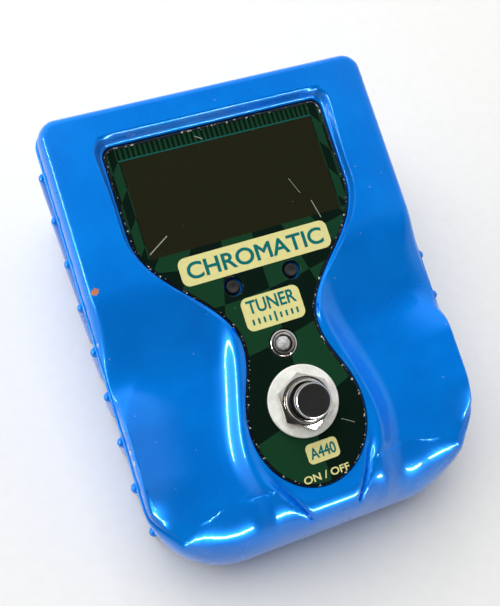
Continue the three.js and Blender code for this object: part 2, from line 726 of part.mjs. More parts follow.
function barX(radius, left, right, y, z, sides = 16) {
  const bar = new THREE.CylinderGeometry(radius, radius, right - left, sides).rotateZ(Math.PI / 2);
  return bar.translate((left + right) / 2, y, z);
}

const doorLeft = BATTERY_X - BAY[0] / 2;
const doorRight = BATTERY_X + BAY[0] / 2;

function basePlate() {
  const edge = allStations().map(({ out, inward }) => out.clone().addScaledVector(inward, WALL + GAP));
  const sheet = plate(new THREE.Shape(edge), PLATE_Z, plateTop);
  const ends = [[doorLeft, 1], [doorRight, -1]].map(([x, inward]) => {
    const near = Math.min(x, x + inward * KNUCKLE_LENGTH);
    const barrel = barX(KNUCKLE_R, near, near + KNUCKLE_LENGTH, hingeY, hingeZ);
    const web = [KNUCKLE_LENGTH, HINGE_INSET + 1];
    const tab = block(web, PLATE_Z, plateTop, near + KNUCKLE_LENGTH / 2, hingeY + web[1] / 2);
    return join(barrel, tab);
  });
  const opening = cut(sheet, block(BAY, 0, plateTop + CUT, BATTERY_X, bayY));
  const pinBore = barX(HINGE_R + GAP, doorLeft - 0.5, doorRight + 0.5, hingeY, hingeZ);
  const joined = cut(join(opening, ...ends), pinBore);
  return cut(joined, ...SCREW_PLACES.map(([x, y]) => rod(SCREW_R + GAP, 0, plateTop + CUT, x, y, 16)));
}

function batteryDoor() {
  const front = bayFrontY + GAP;
  const sheetSize = [BAY[0] - 2 * GAP, hingeY - front];
  const sheet = block(sheetSize, PLATE_Z, plateTop, BATTERY_X, (front + hingeY) / 2);
  const clear = KNUCKLE_LENGTH + GAP;
  const swing = hingeZ - PLATE_Z + 2 * GAP; // what swings past the tabs of the plate
  const barrel = barX(KNUCKLE_R, doorLeft + clear, doorRight - clear, hingeY, hingeZ);
  const notches = [doorLeft, doorRight].map((x) => {
    return block([2 * clear, 2 * swing], 0, plateTop + CUT, x, hingeY);
  });
  const door = join(cut(sheet, ...notches), barrel);
  return cut(door, barX(HINGE_R + GAP, doorLeft, doorRight, hingeY, hingeZ));
}

function hingePin() {
  return barX(HINGE_R, doorLeft, doorRight, hingeY, hingeZ);
}

function batteryPad() {
  const size = [BATTERY[0] - 2 * PAD_MARGIN[0], BATTERY[1] - 2 * PAD_MARGIN[1]];
  const y = BATTERY_REAR_Y - BATTERY[1] / 2;
  return block(size, plateTop + GAP, BATTERY_Z - GAP, BATTERY_X, y);
}

function batteryBlock() {
  const y = BATTERY_REAR_Y - BATTERY[1] / 2;
  return block(BATTERY, BATTERY_Z, BATTERY_Z + BATTERY[2], BATTERY_X, y);
}

function batterySnap() {
  const size = [BATTERY[0] - SNAP_INSET[1], SNAP_THICK - 2 * GAP];
  const y = BATTERY_REAR_Y + GAP + size[1] / 2;
  return block(size, BATTERY_Z + SNAP_INSET[0], BATTERY_Z + BATTERY[2] - SNAP_INSET[1], BATTERY_X, y);
}

function batteryBay() {
  const low = plateTop + GAP;
  const high = BATTERY_Z + BATTERY[2] - BAY_SHORT;
  const outer = BAY.map((side) => side + 2 * (GAP + BAY_WALL));
  const inner = BAY.map((side) => side + 2 * GAP);
  return cut(block(outer, low, high, BATTERY_X, bayY), block(inner, 0, high + CUT, BATTERY_X, bayY));
}

// ---- main board ----
const boardLow = MAIN_BOARD_Z;
const boardHigh = MAIN_BOARD_Z + BOARD_THICK;

function mainBoard() {
  return block(MAIN_BOARD, boardLow, boardHigh, 0, MAIN_BOARD_Y);
}

const STANDOFF_PLACES = [-1, 1].flatMap((sideways) => [-1, 1].map((along) => [
  sideways * (MAIN_BOARD[0] / 2 - STANDOFF_INSET),
  MAIN_BOARD_Y + along * (MAIN_BOARD[1] / 2 - STANDOFF_INSET),
]));

function standoff([x, y]) {
  return rod(STANDOFF_R, plateTop + GAP, boardLow - GAP, x, y, 6);
}

function processorChip() {
  return block(CHIP, boardHigh + GAP, boardHigh + GAP + CHIP[2], CHIP_PLACE[0], MAIN_BOARD_Y + CHIP_PLACE[1]);
}

// The flat cable between the boards: straight up from the main board, with a soft fold.
function ribbonCable() {
  const y = MAIN_BOARD_Y - MAIN_BOARD[1] / 2 + RIBBON_INSET;
  const low = boardHigh + GAP;
  const high = planeZ(y) + (BOARD_TOP - BOARD_THICK - GAP - RIBBON_SHORT) / Math.cos(FACE_TILT);
  const band = new THREE.Shape();
  const thick = RIBBON[1];
  const middle = (low + high) / 2;
  band.moveTo(y, low);
  band.bezierCurveTo(y, middle, y - RIBBON_BULGE, middle, y, high);
  band.lineTo(y + thick, high);
  band.bezierCurveTo(y + thick - RIBBON_BULGE, middle, y + thick, middle, y + thick, low);
  band.lineTo(y, low);
  const options = { depth: RIBBON[0], bevelEnabled: false, curveSegments: 8 };
  const strip = new THREE.ExtrudeGeometry(band, options).rotateX(Math.PI / 2).rotateZ(Math.PI / 2);
  return strip.translate(RIBBON_X - RIBBON[0], 0, 0);
}

function foot([x, y]) {
  const tread = [[0, 0], [FOOT_R - FOOT_CHAMFER, 0], [FOOT_R, FOOT_CHAMFER]];
  const points = [...tread, [FOOT_R, FOOT_THICK], [0, FOOT_THICK]].map(([r, z]) => new THREE.Vector2(r, z));
  return new THREE.LatheGeometry(points, 28).rotateX(Math.PI / 2).translate(x, y, 0);
}

function baseScrew([x, y]) {
  const top = PLATE_Z - GAP;
  const head = rod(SCREW_HEAD_R, top - SCREW_HEAD_THICK, top, x, y, 20);
  const [length, width, depth] = SCREW_SLOT;
  const slotTop = top - SCREW_HEAD_THICK + depth;
  const slots = [[length, width], [width, length]].map((size) => block(size, 0, slotTop, x, y));
  return cut(join(head, rod(SCREW_R, top - 0.2, PLATE_Z + SCREW_LENGTH, x, y, 12)), ...slots);
}

// ---- materials ----
function finish(color, roughness, metalness = 0) {
  return new THREE.MeshStandardMaterial({ color, roughness, metalness });
}

const PAINT = finish(0x0a6fd6, 0.25, 0.1);
const CHROME = finish(0xc8c8cc, 0.15, 1);
const STEEL = finish(0x8e9094, 0.4, 1);
const BLACK = finish(0x101214, 0.5);
const DARK_GREEN = finish(0x16281f, 0.2);
const BOARD = finish(0x1d5a34, 0.5);
const WHITE = finish(0xe8e8e2, 0.5);
const RUBBER = finish(0x1a1a1a, 0.9);
const GLASS = finish(0x23281c, 0.1);
const CLEAR = finish(0xdfe6e8, 0.1);

// ---- assembly ----
const pedal = new THREE.Group();
const facePieces = new THREE.Group();
facePieces.position.set(0, FACE_Y, FACE_Z);
facePieces.rotation.x = FACE_TILT;
pedal.add(facePieces);

function add(group, name, geometry, material) {
  const mesh = new THREE.Mesh(geometry, material);
  mesh.name = name;
  group.add(mesh);
}

add(pedal, 'top_casing', topCasing(), PAINT);
add(facePieces, 'overlay_panel', overlayPanel(), DARK_GREEN);
add(facePieces, 'lcd_frame', lcdFrame(), STEEL);
add(facePieces, 'lcd_glass', lcdGlass(), GLASS);
add(facePieces, 'backlight', backlight(), WHITE);
add(facePieces, 'zebra_strip_upper', zebraStrip(1), RUBBER);
add(facePieces, 'zebra_strip_lower', zebraStrip(-1), RUBBER);
add(facePieces, 'display_board', displayBoard(), BOARD);
for (const [name, side] of [['left', -1], ['right', 1]]) {
  add(facePieces, `tact_switch_${name}`, tactSwitch(side), BLACK);
  add(facePieces, `menu_button_${name}`, menuButton(side), BLACK);
}
add(facePieces, 'status_led', statusLed(), CLEAR);
add(facePieces, 'led_ring', ledRing(), CHROME);
add(facePieces, 'footswitch_cap', switchCap(), CHROME);
add(facePieces, 'footswitch_bush', switchBush(), CHROME);
add(facePieces, 'footswitch_hex_nut', switchNut(washerTop + GAP), CHROME);
add(facePieces, 'footswitch_washer', switchWasher(), WHITE);
add(facePieces, 'footswitch_lower_nut', switchNut(lowerNutTop - NUT_THICK), STEEL);
add(facePieces, 'footswitch_body', switchBody(), BLACK);
for (const place of [-1, 0, 1]) {
  add(facePieces, `footswitch_lug_${place + 2}`, switchLug(place), STEEL);
}
for (const [name, x] of [['input', JACK_X], ['output', -JACK_X]]) {
  const washerY = REAR_Y + GAP;
  const nutY = washerY + JACK_WASHER_THICK + GAP;
  const bore = JACK_THREAD_R + GAP;
  add(pedal, `${name}_jack_body`, jackBody(x), BLACK);
  add(pedal, `${name}_jack_washer`, wallRing(JACK_WASHER_R, bore, washerY, JACK_WASHER_THICK, x, 32), STEEL);
  add(pedal, `${name}_jack_nut`, wallRing(JACK_NUT_R, bore, nutY, JACK_NUT_THICK, x, 6), CHROME);
}
add(pedal, 'dc_inlet_body', dcInletBody(), BLACK);
add(pedal, 'dc_inlet_nut', wallRing(DC_NUT_R, DC_THREAD_R + GAP, REAR_Y + GAP, DC_NUT_THICK, 0, 24), BLACK);
add(pedal, 'base_plate', basePlate(), STEEL);
SCREW_PLACES.forEach((place, i) => add(pedal, `base_screw_${i + 1}`, baseScrew(place), STEEL));
FOOT_PLACES.forEach((place, i) => add(pedal, `foot_${i + 1}`, foot(place), RUBBER));
add(pedal, 'battery_door', batteryDoor(), BLACK);
add(pedal, 'door_hinge_pin', hingePin(), STEEL);
add(pedal, 'battery_pad', batteryPad(), RUBBER);
add(pedal, 'battery', batteryBlock(), BLACK);
add(pedal, 'battery_snap', batterySnap(), BLACK);
add(pedal, 'battery_bay', batteryBay(), WHITE);
add(pedal, 'main_board', mainBoard(), BOARD);
STANDOFF_PLACES.forEach((place, i) => add(pedal, `board_standoff_${i + 1}`, standoff(place), STEEL));
add(pedal, 'processor_chip', processorChip(), BLACK);
add(pedal, 'ribbon_cable', ribbonCable(), WHITE);

export default pedal;
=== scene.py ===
import json
import math

import bmesh
import bpy
import numpy as np
from mathutils import Matrix, Vector
from mathutils.geometry import tessellate_polygon


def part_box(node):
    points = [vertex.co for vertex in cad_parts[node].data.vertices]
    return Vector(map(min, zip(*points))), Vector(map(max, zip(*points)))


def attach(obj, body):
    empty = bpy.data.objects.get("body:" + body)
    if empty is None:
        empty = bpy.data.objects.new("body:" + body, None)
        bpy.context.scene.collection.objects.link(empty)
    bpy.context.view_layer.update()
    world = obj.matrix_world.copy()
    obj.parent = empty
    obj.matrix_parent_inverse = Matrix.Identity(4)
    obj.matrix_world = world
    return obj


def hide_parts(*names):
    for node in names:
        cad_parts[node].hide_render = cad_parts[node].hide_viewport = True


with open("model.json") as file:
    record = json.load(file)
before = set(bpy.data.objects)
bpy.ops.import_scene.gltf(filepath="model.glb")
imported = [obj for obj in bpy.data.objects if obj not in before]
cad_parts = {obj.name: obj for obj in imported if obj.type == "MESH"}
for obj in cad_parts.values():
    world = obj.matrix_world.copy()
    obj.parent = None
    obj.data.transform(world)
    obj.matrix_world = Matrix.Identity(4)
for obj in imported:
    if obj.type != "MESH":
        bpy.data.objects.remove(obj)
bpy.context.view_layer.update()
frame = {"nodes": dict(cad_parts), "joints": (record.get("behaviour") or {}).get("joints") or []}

# ---- Camera, table and light -------------------------------------------------------------
# A hand-held camera looks down on the pedal from its front left. The pedal stands on a plain
# white table between bright windows, under the dark shape of whoever leans over it.
MM = 0.001
CAMERA_PLACE = (-47.21 * MM, -44.86 * MM, 229.89 * MM)
CAMERA_RIGHT = Vector((0.9361, -0.3263, 0.1311))
CAMERA_BACK = Vector((-0.2115, -0.2246, 0.9512))
SENSOR = 36.0
FOCAL_SHARE = 700 / 606
NEAREST_SEEN = 0.01


def put(name, data):
    """A new object of the scene, at its origin."""
    made = bpy.data.objects.new(name, data)
    bpy.context.scene.collection.objects.link(made)
    return made


camera_data = bpy.data.cameras.new("camera")
camera_data.sensor_width = SENSOR
camera_data.lens = SENSOR * FOCAL_SHARE
camera_data.clip_start = NEAREST_SEEN
camera = put("camera", camera_data)
camera.rotation_mode = "QUATERNION"
camera_up = CAMERA_BACK.cross(CAMERA_RIGHT)
camera_turn = Matrix((CAMERA_RIGHT, camera_up, CAMERA_BACK)).transposed()
camera.rotation_quaternion = camera_turn.to_quaternion()
camera.location = CAMERA_PLACE
bpy.context.scene.camera = camera
bpy.context.scene.view_settings.view_transform = "Standard"


class Socket:
    """A node socket that Python arithmetic extends with more nodes."""

    def __init__(self, board, end):
        self.board = board
        self.end = end

    def math(self, operation, *others):
        made = self.board.make("Math", {"operation": operation}, {})
        for place, value in enumerate((self, *others)):
            self.board.feed(made.end.node.inputs[place], value)
        return made

    def __add__(self, other):
        return self.math("ADD", other)

    def __radd__(self, other):
        return self.math("ADD", other)

    def __mul__(self, other):
        return self.math("MULTIPLY", other)

    def __rmul__(self, other):
        return self.math("MULTIPLY", other)

    def __sub__(self, other):
        return self.math("SUBTRACT", other)

    def __rsub__(self, other):
        return (self * -1) + other

    def __truediv__(self, other):
        return self.math("DIVIDE", other)

    def rise(self, low, high):
        """0 below low, 1 above high and smooth between."""
        settings = {"interpolation_type": "SMOOTHSTEP"}
        return self.board.make("MapRange", settings, {"Value": self, "From Min": low, "From Max": high})

    def above(self, edge):
        return self.math("GREATER_THAN", edge)

    def most(self, other):
        return self.math("MAXIMUM", other)

    def magnitude(self):
        return self.math("ABSOLUTE")


class Board:
    """A node tree under construction: shader or geometry."""

    def __init__(self, tree, family):
        self.tree = tree
        self.family = family

    def feed(self, place, value):
        if isinstance(value, Socket):
            self.tree.links.new(value.end, place)
        else:
            place.default_value = value

    def make(self, kind, settings, inputs, output=0):
        """A node of that kind, its settings first and then the values or links of its sockets."""
        shared = kind in ("Math", "VectorMath", "MapRange", "CombineXYZ", "SeparateXYZ")
        node = self.tree.nodes.new(("ShaderNode" if shared else self.family) + kind)
        for key, value in settings.items():
            setattr(node, key, value)
        for key, value in inputs.items():
            self.feed(node.inputs[key], value)
        return Socket(self, node.outputs[output])


class Finish(Board):
    """One node material: a Principled shader with plain values, and what varies over it."""

    def __init__(self, name, **plain):
        self.material = bpy.data.materials.new(name)
        self.material.use_nodes = True
        super().__init__(self.material.node_tree, "ShaderNode")
        self.shader = self.tree.nodes["Principled BSDF"]
        self.set(**plain)
        self.place = self.make("TexCoord", {}, {}, "Object")

    def set(self, **values):
        for name, value in values.items():
            self.feed(self.shader.inputs[name.replace("_", " ")], value)

    def mix(self, share, low, high):
        node = self.tree.nodes.new("ShaderNodeMix")
        node.data_type = "RGBA"
        for place, value in ((0, share), (6, low), (7, high)):
            self.feed(node.inputs[place], value)
        return Socket(self, node.outputs[2])

    def noise(self, per_mm, detail=3, rough=0.55, place=None):
        inputs = {"Vector": place or self.place, "Scale": per_mm / MM, "Detail": detail, "Roughness": rough}
        return self.make("TexNoise", {}, inputs)

    def axis(self, direction, centre=(0, 0, 0)):
        """How far along a direction, in millimetres, from a centre in millimetres."""
        scaled = Vector(direction) / MM
        ends = {0: self.place, 1: [c * MM for c in centre]}
        shifted = self.make("VectorMath", {"operation": "SUBTRACT"}, ends)
        return self.make("VectorMath", {"operation": "DOT_PRODUCT"}, {0: shifted, 1: scaled[:]}, "Value")

    def bump(self, height, depth_mm, strength=1.0):
        made = self.make("Bump", {}, {"Height": height, "Distance": depth_mm * MM, "Strength": strength})
        self.set(Normal=made)

    def dress(self, pattern, colours, rough, rougher, relief_mm=0, tint=None):
        """Two colours, roughness and relief that follow one pattern, or colours that follow another."""
        self.set(Base_Color=self.mix(tint or pattern, *colours), Roughness=rough + pattern * rougher)
        if relief_mm:
            self.bump(pattern, relief_mm)

    def scuffs(self, per_mm, edge):
        """Sparse fine specks where a cell pattern comes close to its points."""
        cells = self.make("TexVoronoi", {}, {"Vector": self.place, "Scale": per_mm / MM}, "Distance")
        return (edge - cells).rise(0, edge * 0.5)


def grey(level, warm=0.0):
    """A grey of one level, a share warmer in the red and cooler in the blue."""
    return (level * (1 + warm), level, level * (1 - warm), 1)


def new_piece(name, vertices, faces, rounded=True):
    """A mesh object from vertices in metres and faces."""
    mesh = bpy.data.meshes.new(name)
    mesh.from_pydata([tuple(v) for v in vertices], [], [tuple(f) for f in faces])
    mesh.update()
    mesh.polygons.foreach_set("use_smooth", [rounded] * len(mesh.polygons))
    return put(name, mesh)


TABLE_HALF = 1.5
CORNERS = ((-1, -1), (1, -1), (1, 1), (-1, 1))
table = new_piece("table", [(x * TABLE_HALF, y * TABLE_HALF, 0) for x, y in CORNERS], [(0, 1, 2, 3)])
table_finish = Finish("table_white", Roughness=0.75)
table_grain = table_finish.noise(0.25, 4)
table_finish.set(Base_Color=table_finish.mix(table_grain, (0.82, 0.82, 0.805, 1), (0.87, 0.87, 0.855, 1)))
table_finish.bump(table_grain, 0.15)
table.data.materials.append(table_finish.material)


def face_out(piece):
    """Turns every face of a closed mesh outwards."""
    shape = bmesh.new()
    shape.from_mesh(piece.data)
    bmesh.ops.recalc_face_normals(shape, faces=shape.faces)
    shape.to_mesh(piece.data)
    shape.free()


def window_light(name, place, size, power, mirrored=True):
    data = bpy.data.lights.new(name, "AREA")
    data.shape = "RECTANGLE"
    data.size, data.size_y = size
    data.energy = power
    light = put(name, data)
    light.visible_diffuse, light.visible_glossy = not mirrored, mirrored
    light.location = place
    light.rotation_euler = (Vector((0, 0, 0.03)) - Vector(place)).to_track_quat("-Z", "Y").to_euler()


window_light("front_window", (0.15, -1.1, 0.40), (0.9, 0.09), 11)
window_light("left_window", (-1.1, 0.15, 0.5), (0.8, 0.07), 7)
window_light("ceiling_bounce", (-0.3, 0.8, 1.3), (1.8, 1.8), 33, mirrored=False)

room = bpy.data.worlds.new("room")
bpy.context.scene.world = room
room.use_nodes = True
sky = Board(room.node_tree, "ShaderNode")
ROOM_BRIGHT = (1.0, 0.995, 0.97, 1)
direction = sky.make("TexCoord", {}, {}, "Generated")


def shade(towards, start, full):
    """1 inside a round dark shape that stands in one direction, 0 outside it."""
    facing = {0: direction, 1: Vector(towards).normalized()[:]}
    return sky.make("VectorMath", {"operation": "DOT_PRODUCT"}, facing, "Value").rise(start, full)


body_shade = shade((-0.15, -0.6, 0.79), 0.4, 0.8)
head_shade = shade((0.2, 0.08, 0.97), 0.94, 0.985)
front = sky.make("SeparateXYZ", {}, {0: direction}, "Y") * -1
left = sky.make("SeparateXYZ", {}, {0: direction}, "X") * -1
open_sky = 0.62 + front.rise(0.85, 0.99) * 0.5 + left.rise(0.5, 0.9) * 0.3
level = open_sky * (1 - body_shade.most(head_shade) * 0.95)
background = room.node_tree.nodes["Background"]
sky.feed(background.inputs["Color"], ROOM_BRIGHT)
sky.feed(background.inputs["Strength"], level)

# ---- Casing ------------------------------------------------------------------------------
# One die casting in blue gloss enamel over grey zinc. A raised housing carries the display,
# two dishes run down to the rounded front lip, and a ridge frames the neck and the switch.
casing_low, casing_high = (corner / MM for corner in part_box("top_casing"))
press = next(joint for joint in frame["joints"] if joint["name"] == "footswitch_press")
TILT_SIN, TILT_COS = press["axis"][1], -press["axis"][2]
TILT_TAN = TILT_SIN / TILT_COS
RIB_R = 1.5
FACE_Z = 44.0
FACE_FROM_REAR = 60.3
HALF_WIDTH = casing_high.x - RIB_R
FRONT_Y, REAR_Y = casing_low.y, casing_high.y
FACE_Y = REAR_Y - FACE_FROM_REAR
CASE_BOTTOM = casing_low.z
GAP = 0.3
WALL = 3.2
CEILING = -7.0
CORNER_REAR, CORNER_FRONT = 7.0, 24.0
WINDOW_HALF, WINDOW_TOP, WINDOW_WIDEST, WINDOW_CORNER = 33.0, 48.3, 23.0, 3.0
NECK_HALF, NECK_V = 11.2, -15.7
BULB_HALF, BULB_V, BULB_DEPTH = 16.8, -39.5, 19.3


def smooth(x, low, high):
    t = np.clip((x - low) / (high - low), 0, 1)
    return t * t * (3 - 2 * t)


def lerp(a, b, t):
    return a + (b - a) * t


def on_face(u, v, h):
    """A place given across, up and out of the face, in the millimetres of the whole pedal."""
    return u, FACE_Y + v * TILT_COS - h * TILT_SIN, FACE_Z + v * TILT_SIN + h * TILT_COS


def arc(centre, radii, start, stop, count=60):
    angle = np.radians(np.linspace(start, stop, count))
    return np.column_stack((centre[0] + radii[0] * np.cos(angle), centre[1] + radii[1] * np.sin(angle)))


def bezier(a, b, c, d, count=160):
    t = np.linspace(0, 1, count)[:, None]
    a, b, c, d = (np.array(point, float) for point in (a, b, c, d))
    return (1 - t) ** 3 * a + 3 * (1 - t) ** 2 * t * b + 3 * (1 - t) * t**2 * c + t**3 * d


def skirt_half():
    """Left half of the casing's plan, from the middle of the rear wall to the middle of the front."""
    x = HALF_WIDTH
    rear = arc((CORNER_REAR - x, REAR_Y - CORNER_REAR), (CORNER_REAR,) * 2, 90, 180)
    corner = arc((CORNER_FRONT - x, FRONT_Y + CORNER_FRONT), (CORNER_FRONT,) * 2, 180, 270)
    return np.vstack(([(0, REAR_Y)], rear, corner, [(0, FRONT_Y)]))


def overlay_half(grow=0.0):
    """Left half of the overlay's outline on the face: window, neck and round bulb."""
    side, top, neck, bulb = (size + grow for size in (WINDOW_HALF, WINDOW_TOP, NECK_HALF, BULB_HALF))
    corner = WINDOW_CORNER + grow
    return np.vstack((
        [(0, top)],
        arc((corner - side, top - corner), (corner, corner), 90, 180),
        bezier((-side, WINDOW_WIDEST), (-side, WINDOW_WIDEST - 17), (-neck, NECK_V + 14.7), (-neck, NECK_V)),
        bezier((-neck, NECK_V), (-neck, NECK_V - 8.3), (-bulb, BULB_V + 10), (-bulb, BULB_V))[1:],
        arc((0, BULB_V), (bulb, BULB_DEPTH + grow), 180, 270)[1:],
    ))


def along(path, shares):
    """Points and unit tangents at shares of a path's length."""
    steps = np.hypot(*np.diff(path, axis=0).T)
    reach = np.concatenate(([0], np.cumsum(steps))) / steps.sum()
    keep = np.concatenate(([True], np.diff(reach) > 0))
    points = np.column_stack([np.interp(shares, reach[keep], path[keep, axis]) for axis in (0, 1)])
    nudge = 0.002
    ahead, behind = (np.clip(shares + way * nudge, 0, 1) for way in (1, -1))
    tangent = sum(sign * np.column_stack([np.interp(at, reach[keep], path[keep, axis]) for axis in (0, 1)])
                  for sign, at in ((1, ahead), (-1, behind)))
    return points, tangent / np.hypot(*tangent.T)[:, None]


def share_at(path, y):
    """Where a path first comes down to y, as a share of its length."""
    shares = np.linspace(0, 1, 2001)
    points, _ = along(path, shares)
    return shares[max(int(np.argmax(points[:, 1] <= y)), 0)]


# Places on the skirt and on the overlay that face each other, and the stations between them.
STATION_PAIRS = (
    (FACE_FROM_REAR - 0.02, WINDOW_TOP - 0.02, 14),
    (FACE_FROM_REAR - CORNER_REAR, WINDOW_TOP - WINDOW_CORNER, 16),
    (22, 22, 24),
    (1, 0, 26),
    (-14.5, -14.5, 24),
    (-34, -34, 28),
    (FRONT_Y + CORNER_FRONT - FACE_Y, -38, 16),
    (FRONT_Y + 0.05 - FACE_Y, -49, 44),
)
FRONT_STATIONS = 44


def both_sides(left):
    """Rows for the left half, then their mirror image back to the start."""
    right = left[1:-1][::-1] * np.array((-1,) + (1,) * (left.shape[1] - 1))
    return np.vstack((left, right))


skirt_path, overlay_path, pocket_path = skirt_half(), overlay_half(), overlay_half(GAP)
skirt_keys, overlay_keys = [0.0], [0.0]
skirt_shares, overlay_shares = [], []
for skirt_y, overlay_v, count in (*STATION_PAIRS, (None, None, FRONT_STATIONS)):
    skirt_keys.append(1.0 if skirt_y is None else share_at(skirt_path, FACE_Y + skirt_y))
    overlay_keys.append(1.0 if overlay_v is None else share_at(overlay_path, overlay_v))
    steps = np.arange(count) / count
    skirt_shares.append(lerp(skirt_keys[-2], skirt_keys[-1], steps))
    overlay_shares.append(lerp(overlay_keys[-2], overlay_keys[-1], steps))
skirt_shares = np.concatenate((*skirt_shares, [1.0]))
overlay_shares = np.concatenate((*overlay_shares, [1.0]))
out, tangent = along(skirt_path, skirt_shares)
inward = np.column_stack((-tangent[:, 1], tangent[:, 0]))
inward[0] = (0, -1)
inward[-1] = (0, 1)
out, inward = both_sides(out), both_sides(inward)
pocket_uv = both_sides(along(pocket_path, overlay_shares)[0])

overlay_edge = both_sides(along(overlay_path, np.linspace(0, 1, 400))[0])
RIDGE = bezier((12.6, -6), (11.4, -20), (19.6, -34), (18.9, -46))
RIDGE = np.vstack((RIDGE, bezier((18.9, -46), (18.4, -55), (13, -60.5), (6.5, -67.5))))
GROOVE = bezier((17.2, -43), (16.6, -53), (10.5, -60), (6.3, -67.5))


def nearest(path, x, v):
    """Distance to a path, and how far along it the nearest point is."""
    flat = np.column_stack((np.ravel(x), np.ravel(v)))
    best = np.full(len(flat), 1e9)
    where = np.zeros(len(flat))
    for index, point in enumerate(path):
        away = np.hypot(flat[:, 0] - point[0], flat[:, 1] - point[1])
        closer = away < best
        best[closer] = away[closer]
        where[closer] = index / (len(path) - 1)
    return best.reshape(np.shape(x)), where.reshape(np.shape(x))


PLATEAU, COLLAR, DISH, FENDER, FENDER_BAND, RIDGE_BAND = 3.2, 1.0, -3.6, 3.8, 22.0, 6.5
GROOVE_DEEP, GROOVE_HALF, CREST_ROUND = 1.5, 1.3, 1.6
# Stretches up the face over which each form comes in or fades out.
HOUSING_RISE, FENDER_RISE, FENDER_FALL, NECK_TO_WINDOW = (-20, 9), (-60, -42), (-30, -10), (-4, 8)
WINDOW_RIM, INSIDE_RISE, RIDGE_TOP = 1.5, (0.1, 1.05), 2
BEZEL_FOOT, BEZEL_WIDTHS, BEZEL_CHANGE = 0.4, (1.4, 2.6), (30, 48)


def fall(share):
    """A hollow slope: 1 at the start, steep there, and level where it ends in 0."""
    return (1 - np.clip(share, 0, 1)) ** 2


def groove_depth(x, y):
    """Depth of the pointed grooves that run from beside the bulb over the front lip."""
    away, share = nearest(GROOVE, np.abs(x), (y - FACE_Y) / TILT_COS)
    half = GROOVE_HALF * (1.2 - share)
    along_groove = smooth(share, 0.1, 0.55) * (1 - smooth(share, 0.9, 1.0))
    return GROOVE_DEEP * np.exp(-((away / half) ** 2)) * along_groove


def face_height(x, y):
    """Height of the upper body above the face plane: housing, ridge, dishes and fenders."""
    v = (y - FACE_Y) / TILT_COS
    bend_x, bend_y = np.abs(x) - (HALF_WIDTH - CORNER_FRONT), (FRONT_Y + CORNER_FRONT) - y
    in_corner = (bend_x > 0) & (bend_y > 0)
    side = np.where(in_corner, CORNER_FRONT - np.hypot(bend_x, bend_y), HALF_WIDTH - np.abs(x))
    away, _ = nearest(overlay_edge, x, v)
    to_ridge, _ = nearest(RIDGE, np.abs(x), v)
    past_crest = np.hypot(to_ridge, CREST_ROUND) - CREST_ROUND
    housing = smooth(v, *HOUSING_RISE)
    along_fender = smooth(v, *FENDER_RISE) * (1 - smooth(v, *FENDER_FALL))
    fender = fall((side - 1) / FENDER_BAND) * along_fender
    low = lerp(lerp(DISH, FENDER, fender), PLATEAU, housing)
    ridge = np.maximum(lerp(COLLAR, PLATEAU, housing), low)
    at_ridge, at_window = fall(past_crest / RIDGE_BAND), fall((away - WINDOW_RIM) / RIDGE_BAND)
    from_crest = lerp(at_ridge, at_window, smooth(v, *NECK_TO_WINDOW))
    outside_height = lerp(low, ridge, from_crest)
    fill = away / np.maximum(away + to_ridge, 0.01)
    inside_height = lerp(GAP, ridge, smooth(fill, *INSIDE_RISE))
    between = nearest_inside(x, v) & (v < RIDGE_TOP)
    bezel_width = lerp(*BEZEL_WIDTHS, smooth(v, *BEZEL_CHANGE))
    bezel = lerp(GAP, outside_height, smooth(away, BEZEL_FOOT, bezel_width))
    return np.where(between, inside_height, bezel)


def nearest_inside(x, v):
    """True between the ridge lines, round the neck and the bulb."""
    order = np.argsort(-RIDGE[:, 1])
    reach = np.interp(-v, -RIDGE[order, 1], RIDGE[order, 0])
    return np.abs(x) < reach


LEDGE, CORNER_LEDGE, RIM_DROP, RIM_ROUND = 0.7, 3.9, 3.6, 0.6
CORNER_WALL_TOP, FRONT_WALL_TOP = 22.0, 15.0
FRONT_ROLL, TONGUE_ROLL, TONGUE_HALF, TONGUE_BLEND = 16.0, 10.0, 6.0, 10.0
LIP_BULGE = 1.75  # 1 is a flat chamfer, 2 a quarter round


def plane_z(y):
    return FACE_Z + (y - FACE_Y) * TILT_TAN


def quarter(part):
    return np.sqrt(1 - (1 - np.clip(part, 0, 1)) ** 2)


forward = inward[:, 1]
station_v = out[:, 1] - FACE_Y
corner = smooth(forward, 0.1, 0.6)
ledge = lerp(LEDGE, CORNER_LEDGE, corner)
WAIST_RISE, WAIST_FALL = (-26, -12), (-6, 10)
BLOCK_ROUND, REAR_ROUND, WAIST_ROUND, CORNER_ROUND = 1.6, 3.3, 8.0, 5.0
past_waist = smooth(station_v, *WAIST_FALL)
waist = smooth(station_v, *WAIST_RISE) * (1 - past_waist)
side_round = lerp(lerp(BLOCK_ROUND, REAR_ROUND, past_waist), WAIST_ROUND, waist)
edge_round = lerp(side_round, CORNER_ROUND, corner)
front_share = smooth(forward, 0.6, 1)
crease_z = plane_z(out[:, 1] + forward * ledge) - RIM_DROP
wall_z = lerp(crease_z - RIM_ROUND, CORNER_WALL_TOP, corner)
roll = lerp(TONGUE_ROLL, FRONT_ROLL, smooth(np.abs(out[:, 0]), TONGUE_HALF, TONGUE_HALF + TONGUE_BLEND))
width = lerp(ledge + edge_round, roll, front_share)
crest_xy = out + inward * width[:, None]
crest_z = plane_z(crest_xy[:, 1]) + face_height(crest_xy[:, 0], crest_xy[:, 1])


